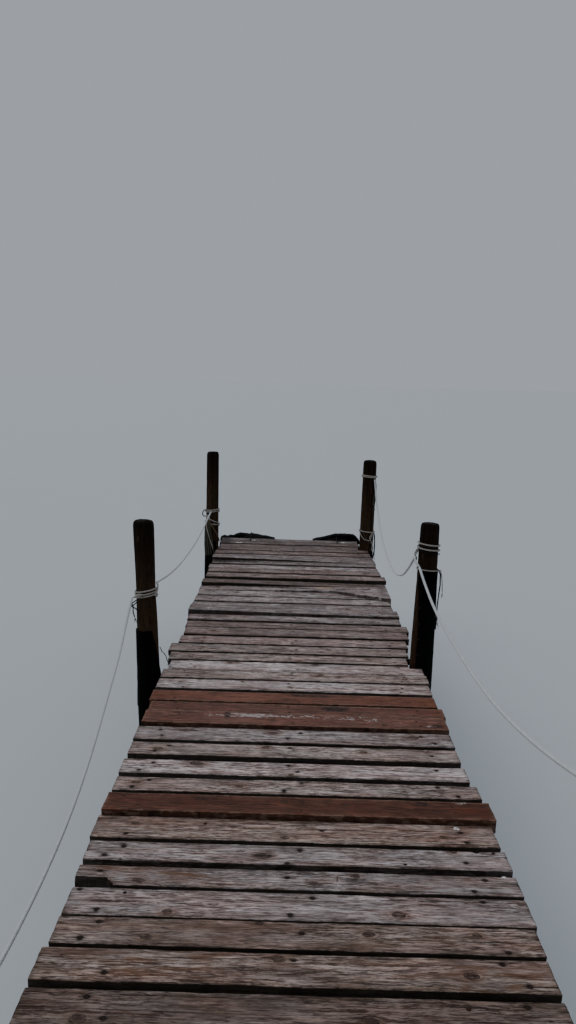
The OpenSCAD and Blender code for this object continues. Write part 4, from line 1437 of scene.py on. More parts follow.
@dataclass
class Frame:
    """The bearers and stringers under the deck, with the bolts that hold the bearers to the posts."""

    bolt_drop: tuple[float, float] = (0.045, 0.105)
    bolt_stagger: float = 0.012
    first_seed: int = 401
    wear: Wear = Wear(arris=0.003, wave=0.0008, cup=0.0006, side=0.001, rag=0.0015, split=0.008, step=0.03)

    def build(self) -> None:
        """Makes the beams and the bolts."""
        beams = [(f"bearer_beam_{k}", f"bearer_{k}", solids_of(f"bearer_{k}")[0], 0) for k in range(1, 5)]
        for node in ("stringer_left", "stringer_middle", "stringer_right"):
            lengths = sorted(solids_of(node), key=lambda item: item.low()[1])
            beams += [(f"{node}_{n + 1}", node, solid, 1) for n, solid in enumerate(lengths)]
        for seed, (name, node, solid, axis) in enumerate(beams, self.first_seed):
            self.beam(name, node, solid, seed, axis)
        self.bolts()

    def beam(self, name: str, node: str, solid: Solid, seed: int, axis: int) -> None:
        """Makes one beam.

        Args:
            name: name of the piece.
            node: CAD node that it stands for.
            solid: its CAD solid.
            seed: start of its draws.
            axis: axis of its length, 0 or 1.
        """
        uneven = Uneven(seed + 60)
        low, high = solid.low(), solid.high()
        knots = [(at + uneven.pick(-0.15, 0.15), uneven.pick(low[1 - axis] + 0.01, high[1 - axis] - 0.01),
                  uneven.pick(0.007, 0.013)) for at in np.arange(low[axis] + 0.3, high[axis] - 0.2, 0.6)]
        Timber(name, solid, Finish.FRAME, self.wear, seed, axis=axis, knots=knots).build(node)

    def bolts(self) -> None:
        """Hexagon nuts on square plate washers, two for each post, on the bearers' outer faces."""
        shape = Shape()
        for k, bent_y in enumerate(BENTS_Y):
            y = bent_y + SEAT_Y + BEARER_T
            for side in (-1, 1):
                for n, drop in enumerate(self.bolt_drop):
                    x, z = side * (POSTS[side][k].out + self.bolt_stagger * (-1) ** n), BEARER_TOP - drop
                    for sides, turn, rings in BOLT:
                        angles = math.radians(turn) + circle(sides)
                        points = [(x + radius * math.cos(a), y + out, z + radius * math.sin(a))
                                  for radius, out in rings for a in angles]
                        shape.add(points, capped(len(rings), sides, flip=True, foot=False))
        shape.piece("frame_bolts", Finish.IRON, angle=25)


@dataclass(frozen=True)
class PostPlan:
    """Where a post stands and what is on it, in metres and degrees; heights are above the deck.

    Swell is (height, what the radius gains there), and edge is (height, degrees) of the sleeve's edge on the
    shore side.
    """

    out: float
    top: float
    lean: float
    sleeve: float
    swell: tuple[tuple[float, float], ...] = ((0.0, 0.0), (0.3, -0.0015), (0.5, 0.0))
    edge: tuple[tuple[float, float], ...] = ((0.0, -125.0),)


POSTS = {
    -1: (PostPlan(0.742, 0.800, 0.6, 0.150), PostPlan(0.740, 0.820, 0.2, 0.050),
         PostPlan(0.784, 0.748, 2.1, 0.156,
                  ((-0.1, 0.0), (0.2, -0.003), (0.35, -0.0058), (0.5, -0.003), (0.66, 0.0)),
                  ((-0.26, -176.0), (-0.10, -174.0), (0.0, -154.0), (0.156, -121.0))),
         PostPlan(0.732, 0.840, 0.2, 0.045, ((0.0, 0.0), (0.3, -0.0030), (0.8, -0.0015)))),
    1: (PostPlan(0.738, 0.775, 0.4, 0.180), PostPlan(0.732, 0.830, 0.5, 0.140),
        PostPlan(0.678, 0.780, 0.6, 0.530, ((0.0, 0.0), (0.25, -0.001), (0.46, -0.0045), (0.64, -0.0040),
                                            (0.78, -0.0060)), ((0.25, -126.0), (0.53, -146.0))),
        PostPlan(0.644, 0.804, 0.3, -0.020, ((0.0, 0.0), (0.1, 0.003), (0.8, 0.004)))),
}
# A log's worn top: share of the radius that is left, and share of the top's height
CROWN = ((0.995, 0.0), (0.985, 0.20), (0.96, 0.42), (0.915, 0.62), (0.84, 0.79), (0.72, 0.90), (0.56, 0.96),
         (0.36, 0.99), (0.16, 1.0))
# Heights above the deck of the flat that seats a bearer
SEAT = (BEARER_TOP - BEARER_H - DECK_TOP, BEARER_TOP - DECK_TOP)


@dataclass
class Post:
    """A leaning round post and its sleeve."""

    side: int
    bent: int
    foot_r: float = 0.065
    top_r: float = 0.055
    crown: float = 0.035
    sides: int = 40
    checks: int = 5
    section_step: float = 0.0155
    wrap: float = 125.0
    slot_wrap: float = 36.0
    sleeve_room: float = 0.006
    sleeve_top: float = 0.0052
    sleeve_under: float = 0.0004
    tack_step: float = 0.085

    @property
    def plan(self) -> PostPlan:
        """The post's own measures."""
        return POSTS[self.side][self.bent - 1]

    @property
    def side_word(self) -> str:
        """The post's side, as the nodes are named."""
        return "left" if self.side < 0 else "right"

    @property
    def tag(self) -> str:
        """Side and number, as the nodes are named."""
        return f"{self.side_word}_{self.bent}"

    def radius(self, height: np.ndarray) -> np.ndarray:
        """The log's radius, before its worn top begins.

        Args:
            height: heights above the deck.

        Returns:
            The radius at each.
        """
        tall = DECK_TOP + self.plan.top - self.crown
        gain = np.interp(height, *zip(*self.plan.swell))
        return self.foot_r + (self.top_r - self.foot_r) * (DECK_TOP + np.asarray(height, float)) / tall + gain

    def place(self, points: np.ndarray) -> np.ndarray:
        """Leans points with the post.

        Args:
            points: points in the post's own frame, with the origin on its middle line at deck level.

        Returns:
            The points in the row frame.
        """
        turn = math.radians(self.side * self.plan.lean)
        x, y, z = points[..., 0], points[..., 1], points[..., 2]
        return np.stack([self.side * self.plan.out + x * math.cos(turn) + z * math.sin(turn),
                         BENTS_Y[self.bent - 1] + y, DECK_TOP - x * math.sin(turn) + z * math.cos(turn)], -1)

    def around(self, angle: np.ndarray, height: np.ndarray, off: np.ndarray) -> np.ndarray:
        """Points round the post.

        Args:
            angle: degrees, 0 on the side away from the deck, 90 towards the lake.
            height: above the deck.
            off: distance from the post's surface.

        Returns:
            The points, in the row frame.
        """
        turn = np.radians(np.asarray(angle, float))
        reach = self.radius(height) + off
        return self.place(np.stack([self.side * reach * np.cos(turn), reach * np.sin(turn),
                                    np.asarray(height, float) + 0 * turn], -1))

    def build(self) -> None:
        """Makes the log and its sleeve."""
        self.log()
        self.sleeve()

    def sections(self) -> tuple[np.ndarray, np.ndarray]:
        """Where the log's section is set, closer by the ends of its flat and over its worn top.

        Returns:
            The share of the radius that is left at each section, and its height above the deck.
        """
        crown_z = self.plan.top - self.crown
        heights = list(np.arange(-DECK_TOP + 0.012, crown_z, self.section_step))
        for flat in SEAT:
            heights = [h for h in heights if abs(h - flat) > 0.006]
            heights += [flat - 0.003, flat - 0.0006, flat + 0.0006, flat + 0.003]
        rows = [(1.0, h) for h in sorted(heights)] + [(share, crown_z + self.crown * h) for share, h in CROWN]
        share, height = np.array(rows).T
        return share, height

    def check_depth(self, h: np.ndarray, base: np.ndarray, cracks: list[float], uneven: Uneven) -> np.ndarray:
        """How deep the drying checks are.

        Args:
            h: heights of the sections.
            base: degrees of the columns.
            cracks: degrees of the checks.
            uneven: the log's draws.

        Returns:
            Depth at each section and column.
        """
        depth = np.zeros((len(h), len(base)))
        for crack in cracks:
            column = int(np.argmin(np.abs((base - crack % 360 + 180) % 360 - 180)))
            open_at = np.clip(0.35 + uneven.line(h, uneven.pick(0.3, 0.6)), 0, 1) * 0.009
            wider = np.maximum(open_at, uneven.pick(0.003, 0.009))
            open_at = np.where(h > self.plan.top - 0.12, wider, open_at)
            depth[:, column] = np.maximum(depth[:, column], open_at)
        return depth

    def log(self) -> None:
        """The log: checked all round, flat where its bearer is let in, worn at the top."""
        uneven = Uneven(50 + 10 * self.bent + self.side)
        top = self.plan.top
        share, h = self.sections()
        angles = list(np.linspace(0, 360, self.sides, endpoint=False))
        cracks = [uneven.pick(0, 360) for _ in range(self.checks)]
        for crack in cracks:
            angles = [a for a in angles if abs((a - crack + 180) % 360 - 180) > 4.5]
            angles += [crack - 2.2, crack, crack + 2.2]
        base = np.sort(np.mod(angles, 360))
        wander = 6.0 * uneven.line(h, 0.5)[:, None] + 1.2 * uneven.line(h, 0.08)[:, None]
        phi = np.radians(base[None, :] + wander)
        radius = self.radius(np.minimum(h, top - self.crown))[:, None] * share[:, None]
        bark = (np.abs(uneven.field(h[:, None], base[None, :], 0.30, 40.0)) * 0.0022
                + np.abs(uneven.field(h[:, None], base[None, :], 0.05, 14.0)) * 0.0010)
        radius = radius - bark * np.clip(share[:, None] * 1.2, 0, 1)
        depth = self.check_depth(h, base, cracks, uneven)
        steep = np.clip((1 - share) * 3, 0, 1)[:, None]
        lift = uneven.field(np.cos(phi) * share[:, None], np.sin(phi) * share[:, None], 0.7, 0.7)
        radius = np.maximum(radius - depth * (1 - steep), 0.003)
        x, y = self.side * radius * np.cos(phi), radius * np.sin(phi)
        z = h[:, None] + (lift * 0.006 - 0.004 - depth * 0.8) * steep
        level = (SEAT[0] < h + 1e-4) & (h - 1e-4 < SEAT[1])
        y = np.where(level[:, None], np.minimum(y, SEAT_Y - 0.0002), y)
        turn = math.radians(self.side * self.plan.lean)
        floor = (x[0] * math.sin(turn) - DECK_TOP) / math.cos(turn)
        foot = np.stack([x[0] * 0.985, y[0] * 0.985, floor], -1)
        above = np.stack([x[0], y[0], floor + 0.003], -1)
        grid = np.concatenate([foot[None], above[None], np.stack([x, y, z], -1)])
        height = grid[..., 2]
        bearing = np.arctan2(grid[..., 1], self.side * grid[..., 0])
        girth = 0.06 * np.abs(bearing)
        grain = np.stack([height + uneven.pick(-30, 30), girth + 0.03, 0.04 * np.sin(bearing)], -1)
        knots = [(at + uneven.pick(-0.07, 0.07), uneven.pick(0.02, 0.17), uneven.pick(0.008, 0.014))
                 for at in np.arange(-0.7, top - 0.1, 0.26)]
        round_it = np.repeat(base[None], len(grid), 0)
        # The log darkens towards its foot, from about 0.45 below the deck down, through the side value
        darker_low = (-0.45 - height) / 0.25 + 0.6 * uneven.field(height, round_it, 0.1, 50.0)
        open_by = np.concatenate([np.zeros((2, len(base))), depth])
        pale = np.interp(top - height, (0.0, 0.15, 0.35, 0.60), (0.36, 0.62, 1.4, 1.7))
        shape = Shape()
        shape.add(self.place(grid), capped(*height.shape, flip=self.side < 0), grain_at=grain,
                  side=np.clip(darker_low, 0, 1), edge=np.clip((height - top + 0.07) / 0.07, 0, 1) * 0.75,
                  # Painted shade in the drying checks, by how deep they are
                  stain=np.clip(open_by / 0.006, 0, 1),
                  tint=np.repeat(pale[..., None], 3, -1), warmth=np.full_like(height, 0.75),
                  knot_at=nearest_knot(height, girth, knots))
        shape.piece(f"post_log_{self.tag}", Finish.POST, f"post_{self.tag}", angle=50)

    def sleeve(self) -> None:
        """The rubber wrapped round the outer side, cut out round the bearer."""
        uneven = Uneven(200 + 10 * self.bent + self.side)
        low, top = SLEEVE_LOW - DECK_TOP, self.plan.sleeve
        slot = BEARER_TOP - BEARER_H - self.sleeve_room - DECK_TOP, BEARER_TOP + self.sleeve_room - DECK_TOP
        slot_share = self.slot_wrap / self.wrap
        h = np.concatenate([np.linspace(low, slot[0], 12), np.linspace(*slot, 11)[1:],
                            np.linspace(slot[1], top, max(8, int((top - slot[1]) / 0.013)))[1:]])
        share = np.sort(np.append(np.linspace(-1, 1, 56), slot_share))
        h, share = np.broadcast_arrays(h[:, None], share[None])
        angle = np.where(share < 0, -share * self.shore_edge(h), share * self.wrap)
        angle = angle + 0.7 * uneven.line(h, 0.05) * (np.abs(share) > 0.9)
        sag = np.abs(uneven.line(share, 0.09)) * 0.004 * (h == h.max())
        rise = np.abs(uneven.line(share, 0.08)) * 0.006 * (h == h.min()) - sag
        wave = (np.abs(uneven.field(h, angle, 0.10, 22.0)) * 0.0016
                + np.abs(uneven.field(h, angle, 0.03, 9.0)) * 0.0006)
        curl = 0.0035 * np.clip(np.abs(share) - 0.93, 0, 1) / 0.07 * np.abs(uneven.line(h + share, 0.09))
        outer = self.around(angle, h + rise, self.sleeve_top - wave + curl)
        inner = self.around(angle, h + rise, self.sleeve_under + curl)
        level = (h[:-1, :-1] > slot[0] - 1e-6) & (h[1:, 1:] < slot[1] + 1e-6)
        in_slot = level & (share[:-1, :-1] > slot_share - 1e-6)
        shape = Shape()
        shape.add(np.stack([outer, inner]), sheet(~in_slot, self.side > 0))
        shape.piece(f"sleeve_{self.tag}", Finish.SLEEVE, f"sleeves_{self.side_word}", angle=50)
        self.tacks(low, top, slot)

    def shore_edge(self, height: np.ndarray) -> np.ndarray:
        """Degrees round the post at which the sleeve ends on the shore side."""
        return np.interp(height, *zip(*self.plan.edge))

    def tacks(self, low: float, top: float, slot: tuple[float, float]) -> None:
        """The tacks along both edges of the sleeve, apart from where the bearer is.

        Args:
            low, top: heights that the sleeve reaches from and to.
            slot: heights of the cut-out round the bearer.
        """
        shape = Shape()
        turn = circle(9)
        rings = ((0.0045, 0.0035), (0.0044, 0.0062), (0.0022, 0.0070))
        for height in np.arange(low + 0.03, top - 0.01, self.tack_step):
            for place in (float(self.shore_edge(height)) + 7, self.wrap - 6):
                if place > 0 and slot[0] - 0.02 < height < slot[1] + 0.02:
                    continue
                points = [self.around(place + np.degrees(r * np.cos(turn) / 0.06), height + r * np.sin(turn),
                                      lift) for r, lift in rings]
                shape.add(points, capped(len(rings), len(turn), flip=self.side > 0, foot=False))
        shape.piece(f"tacks_{self.tag}", Finish.IRON)


# Points that a smooth curve is worked out at, from each given point to the next
SPAN_POINTS = 24


def smooth_path(points: np.ndarray, step: float, closed: bool = False) -> np.ndarray:
    """Points at an even distance along a smooth curve.

    Args:
        points: points that the curve passes through.
        step: distance between the points that come back.
        closed: whether the curve closes on itself.

    Returns:
        The points along the curve.
    """
    points = np.asarray(points, float)
    before, after = 2 * points[0] - points[1], 2 * points[-1] - points[-2]
    ring = np.vstack([points[-1], points, points[:2]] if closed else [before, points, after])
    t = np.linspace(0, 1, SPAN_POINTS, endpoint=False)[:, None]
    out = []
    for k in range(1, len(ring) - 2):
        p0, p1, p2, p3 = ring[k - 1:k + 3]
        d1, d2, d3 = (max(np.linalg.norm(q - p), 1e-9) ** 0.5 for p, q in ((p0, p1), (p1, p2), (p2, p3)))
        m1 = (p1 - p0) / d1 - (p2 - p0) / (d1 + d2) + (p2 - p1) / d2
        m2 = (p2 - p1) / d2 - (p3 - p1) / (d2 + d3) + (p3 - p2) / d3
        out.append((2 * t**3 - 3 * t**2 + 1) * p1 + (t**3 - 2 * t**2 + t) * m1 * d2
                   + (-2 * t**3 + 3 * t**2) * p2 + (t**3 - t**2) * m2 * d2)
    out.append(ring[1 if closed else -2][None])
    dense = np.concatenate(out)
    run = distances(dense)
    goal = np.linspace(0, run[-1], max(4, int(round(run[-1] / step))) + 1)
    even = np.stack([np.interp(goal, run, dense[:, k]) for k in range(3)], 1)
    return even[:-1] if closed else even


def distances(path: np.ndarray) -> np.ndarray:
    """How far along a path each of its points is."""
    return np.concatenate([[0], np.cumsum(np.linalg.norm(np.diff(path, axis=0), axis=1))])


@dataclass(frozen=True)
class Laid:
    """A laid rope's section: three strands that turn about each other.

    Lay is how many diameters a full turn takes, depth the least width as a share of the diameter, and strand
    the radius of one strand as such a share.
    """

    diameter: float
    sides: int = 15
    lay: float = 3.3
    depth: float = 0.64
    strand: float = 0.2321

    def axes(self, path: np.ndarray, closed: bool) -> tuple[np.ndarray, np.ndarray, np.ndarray]:
        """Directions at each point of a path, with no twist from one point to the next.

        Args:
            path: the points.
            closed: whether the path closes on itself.

        Returns:
            Ahead, and two directions across.
        """
        ahead = np.roll(path, -1, 0) - np.roll(path, 1, 0) if closed else np.gradient(path, axis=0)
        tangent = ahead / np.linalg.norm(ahead, axis=1)[:, None]
        guess = np.cross(tangent[0], (0.0, 0.0, 1.0))
        if np.linalg.norm(guess) < 0.1:
            guess = np.cross(tangent[0], (0.0, 1.0, 0.0))
        normal = np.zeros_like(path)
        normal[0] = guess / np.linalg.norm(guess)
        for k in range(1, len(path)):
            v = normal[k - 1] - tangent[k] * np.dot(normal[k - 1], tangent[k])
            normal[k] = v / np.linalg.norm(v)
        return tangent, normal, np.cross(tangent, normal)

    def sweep(self, shape: Shape, path: np.ndarray, closed: bool = False) -> None:
        """Adds the rope along a path.

        Args:
            shape: mesh in the making.
            path: even points along its middle.
            closed: whether it closes on itself; if not, its ends are rounded off.
        """
        n = len(path)
        tangent, normal, other = self.axes(path, closed)
        run = distances(path)
        phi = circle(self.sides)
        twist = 2 * math.pi * run / (self.lay * self.diameter)
        if closed:
            v = normal[-1] - tangent[0] * np.dot(normal[-1], tangent[0])
            slip = math.atan2(np.dot(v, other[0]), np.dot(v, normal[0]))
            turns = round(twist[-1] * n / (n - 1) / (2 * math.pi) * 3) / 3
            twist = np.linspace(0, 2 * math.pi * turns + slip, n, endpoint=False)
        turned = phi[None, :] - twist[:, None] + math.pi / 3
        psi = turned % (2 * math.pi / 3) - math.pi / 3
        a = self.strand * self.diameter
        c = a * 2 / math.sqrt(3)
        reach = c * np.cos(psi) + np.sqrt(np.maximum(a * a - (c * np.sin(psi)) ** 2, 0))
        reach = np.maximum(reach, self.depth * self.diameter / 2)
        if not closed:
            end = np.minimum(run, run[-1] - run)
            reach = reach * np.clip(0.55 + end / self.diameter, 0, 1)[:, None]
        points = (path[:, None, :] + reach[..., None] * (np.cos(phi)[None, :, None] * normal[:, None, :]
                                                        + np.sin(phi)[None, :, None] * other[:, None, :]))
        faces = band(n, self.sides, closed=True) if closed else capped(n, self.sides)
        # Seven apart on the third axis, the yarns of the three strands differ
        strand = 7.0 * np.floor(turned % (2 * math.pi) / (2 * math.pi / 3))
        grain = np.stack([np.repeat(run[:, None], self.sides, 1), psi / (math.pi / 3), strand], -1)
        shape.add(points, faces, grain_at=grain)


ROPE_ROUTES = {
    # Millimetres: out from the deck's edge, along the deck, and above the deck
    "left_1": ((95, -1705, 86), (116, -1880, 35), (124, -2110, -10), (126, -2350, -45), (128, -2590, -65),
               (128, -2830, -70), (128, -3070, -60), (128, -3310, -35), (126, -3550, 5), (124, -3790, 60),
               (120, -4010, 130), (112, -4210, 215), (98, -4395, 315)),
    "left_2": ((180, 1205, 352), (186, 1090, 258), (178, 900, 172), (170, 650, 88), (162, 400, 12),
               (154, 150, -52), (146, -120, -95), (140, -390, -112), (135, -650, -108), (130, -890, -88),
               (124, -1110, -48), (114, -1310, 8), (98, -1495, 78)),
    "left_3": ((88, 1402, 384), (81, 1530, 368), (76, 1710, 345), (73, 1910, 324), (72, 2140, 302),
               (72, 2380, 286), (72, 2640, 274), (72, 2900, 266), (72, 3160, 264), (72, 3400, 269),
               (71, 3640, 280), (69, 3870, 296), (65, 4098, 316)),
    "right_1": ((66, -1702, 690), (70, -1880, 622), (74, -2110, 552), (76, -2350, 492), (77, -2590, 446),
                (77, -2830, 416), (77, -3070, 402), (77, -3310, 404), (76, -3550, 424), (75, -3790, 460),
                (74, -4010, 508), (72, -4210, 565), (70, -4398, 628)),
    "right_2": ((-44, 1210, 556), (-37, 1050, 504), (-30, 830, 456), (-20, 600, 426), (-10, 360, 407),
                (-2, 110, 400), (7, -140, 404), (15, -390, 428), (23, -630, 465), (31, -860, 513),
                (38, -1080, 570), (46, -1290, 635), (54, -1498, 704)),
    "right_3": ((-40, 1390, 574), (-36, 1510, 510), (-33, 1680, 428), (-25, 1880, 352), (-18, 2100, 292),
                (-12, 2340, 252), (-6, 2600, 233), (-1, 2860, 233), (5, 3110, 248), (11, 3350, 280),
                (17, 3580, 330), (22, 3790, 395), (24, 3970, 475), (22, 4075, 560), (16, 4122, 640)),
}


@dataclass
class HandRopes:
    """The hand ropes that hang from post to post."""

    step: float = 0.0056

    def build(self) -> None:
        """Makes each rope."""
        for tag, route in ROPE_ROUTES.items():
            side = -1 if tag.startswith("left") else 1
            points = np.array([(side * (DECK_HALF + x / 1000), y / 1000, DECK_TOP + z / 1000)
                               for x, y, z in route])
            path = smooth_path(points, self.step)
            shape = Shape()
            Laid(ROPE_D).sweep(shape, path)
            piece = shape.piece(f"hand_rope_{tag}", Finish.HAND_ROPE, f"rope_{tag}", angle=70)


@dataclass(frozen=True)
class Turns:
    """Turns of rope round a post, in millimetres: height of their middle above the deck, and how many.

    Start is where they begin, in degrees. Gap is the drop from turn to turn, and tilt what they rise towards
    the deck.
    """

    height: float
    count: int
    start: float = 200.0
    gap: float = 12.5
    tilt: float = 0.0
    diameter: float = 9.5
    finish: Finish = Finish.OLD_ROPE


@dataclass(frozen=True)
class Strand:
    """A loose length of rope on a post, in millimetres.

    Its points are (degrees round the post, height above the deck, distance off the post).
    """

    points: tuple[tuple[float, float, float], ...]
    diameter: float = 8
    frayed: bool = False
    finish: Finish = Finish.OLD_ROPE


@dataclass(frozen=True)
class Knot:
    """A tied knot on a post: degrees round it, and in millimetres its height above the deck and its size."""

    angle: float
    height: float
    size: float = 30
    diameter: float = 9
    finish: Finish = Finish.OLD_ROPE


DARK, OLIVE, BROWN = Finish.TARRED, Finish.MOSSY, Finish.TAN
LASHINGS = {
    "left_1": (
        Turns(325, 3, tilt=5),
        Knot(95, 318),
        Strand(((60, 318, 6), (20, 300, 10), (15, 240, 8), (22, 170, 8)), frayed=True)),
    "left_2": (
        Turns(84, 3, tilt=-4),
        Knot(-95, 86),
        Knot(92, 82),
        Strand(((-120, 88, 6), (-152, 75, 12), (-155, 20, 12)), frayed=True)),
    "left_3": (
        Turns(352, 3, 175, 14.5, 6),
        Knot(-158, 345, 17),
        Knot(-66, 352, 16),
        Strand(((-150, 352, 6), (-168, 362, 9), (165, 378, 10), (135, 385, 22), (113, 384, 48)), 11),
        Strand(((-85, 356, 6), (-70, 356, 26), (-63, 352, 56)), 11),
        Strand(((-62, 335, 6), (-48, 322, 18), (-43, 312, 33), (-43, 292, 36), (-50, 284, 24), (-62, 262, 7)),
               7, finish=DARK),
        Strand(((-55, 318, 12), (-44, 298, 30), (-43, 262, 30), (-46, 235, 24)), 7, frayed=True, finish=DARK),
        Strand(((172, 48, 3), (-165, 34, 20), (-142, 12, 85), (-128.7, 4, 150)), 5, finish=DARK)),
    "left_4": (
        Turns(313, 2, 170, 14.5, 3, 10.5),
        Turns(196, 1, 170, 12, -10, 10.5),
        Knot(-56, 268, 21, 10),
        Knot(-72, 248, 14, 9),
        Strand(((-40, 318, 6), (-8, 316, 16), (-5, 300, 28), (-6, 276, 32), (-14, 262, 22), (-40, 266, 10)),
               10, finish=DARK),
        Strand(((-60, 262, 10), (-78, 240, 8), (-110, 223, 7), (-150, 207, 7), (175, 197, 7)), 10),
        Strand(((-66, 240, 8), (-100, 170, 12), (-138, 95, 12), (-168, 34, 8)), 11, finish=BROWN),
        Strand(((-46, 235, 10), (-52, 170, 14), (-78, 70, 14), (-106, -35, 12)), 10),
        Strand(((-40, 230, 8), (-42, 120, 10), (-50, 20, 12), (-58, -85, 10)), 16, finish=OLIVE),
        Strand(((-52, 228, 8), (-56, 120, 10), (-66, 20, 12), (-74, -85, 10)), 16, finish=OLIVE),
        Strand(((-64, 226, 8), (-70, 120, 10), (-82, 20, 12), (-92, -80, 10)), 16, finish=OLIVE),
        Strand(((-76, 222, 8), (-84, 120, 10), (-98, 30, 12), (-108, -60, 10)), 16, finish=OLIVE),
        Strand(((-30, 225, 8), (-30, 120, 10), (-34, 20, 12), (-42, -90, 10)), 16, finish=OLIVE)),
    "right_1": (
        Turns(635, 3, tilt=6),
        Knot(95, 630),
        Strand(((40, 628, 6), (8, 600, 8), (4, 500, 6), (8, 420, 6)), frayed=True)),
    "right_2": (
        Turns(712, 3, tilt=-5),
        Knot(-95, 700),
        Knot(92, 710),
        Strand(((-60, 700, 6), (-25, 680, 10), (-22, 600, 8), (-24, 540, 6)), 7, frayed=True, finish=DARK)),
    "right_3": (
        Turns(643, 2, 165, 25, 1),
        Turns(526, 1, 170, 4, 2, 7),
        Strand(((168, 634, 5), (-150, 628, 5), (-100, 622, 5), (-40, 614, 5), (-5, 610, 7)), 6, finish=DARK),
        Strand(((-165, 640, 6), (-178, 612, 10), (-172, 596, 20)), 10),
        Strand(((-170, 594, 18), (-152, 582, 32), (-136, 568, 45), (-122, 556, 54)), 13,
               finish=Finish.HAND_ROPE),
        Knot(178, 580, 15),
        Strand(((165, 628, 6), (150, 604, 18), (132, 586, 34), (122, 574, 46)), 10, finish=DARK),
        Strand(((-35, 528, 4), (-12, 524, 8), (-8, 500, 18), (-8, 443, 20), (-9, 390, 15), (-10, 325, 10),
                (-10, 260, 8), (-12, 200, 7)), 8, finish=DARK),
        Strand(((-30, 530, 4), (-8, 522, 18), (-6, 490, 26), (-6, 448, 31), (-6, 405, 33)), 6, frayed=True),
        Strand(((-8, 430, 20), (-10, 365, 14), (-10, 300, 10), (-10, 245, 14)), 6, frayed=True)),
    "right_4": (
        Turns(659, 2, 170, 10, 3, 10.5),
        Turns(166, 1, 170, 8, 5, 10.5),
        Strand(((-58, 655, 6), (-46, 600, 10), (-40, 545, 12), (-52, 480, 10), (-60, 420, 10)), 10,
               finish=OLIVE),
        Strand(((-50, 655, 6), (-36, 580, 12), (-32, 500, 12), (-42, 430, 12), (-50, 360, 10)), 10,
               finish=OLIVE),
        Knot(-52, 415, 16, 10, OLIVE),
        Knot(-50, 370, 16, 10, OLIVE),
        Strand(((-160, 166, 6), (-143, 141, 8), (-110, 103, 13), (-76, 92, 13), (-50, 138, 9), (-28, 166, 6)),
               8),
        Strand(((-125, 166, 6), (-104, 125, 10), (-90, 88, 12), (-70, 70, 13), (-56, 60, 10)), 8,
               finish=OLIVE),
        Strand(((-50, 165, 8), (-74, 120, 14), (-60, 80, 14), (-44, 50, 11), (-52, 0, 13)), 9),
        Strand(((-30, 166, 7), (-22, 90, 14), (-25, 0, 18), (-36, -70, 16), (-50, -90, 14), (-48, -30, 16),
                (-40, 40, 13)), 9, finish=DARK),
        Strand(((-25, 160, 7), (-12, 120, 12), (-10, 30, 18), (-16, -60, 18)), 8, frayed=True, finish=DARK)),
}


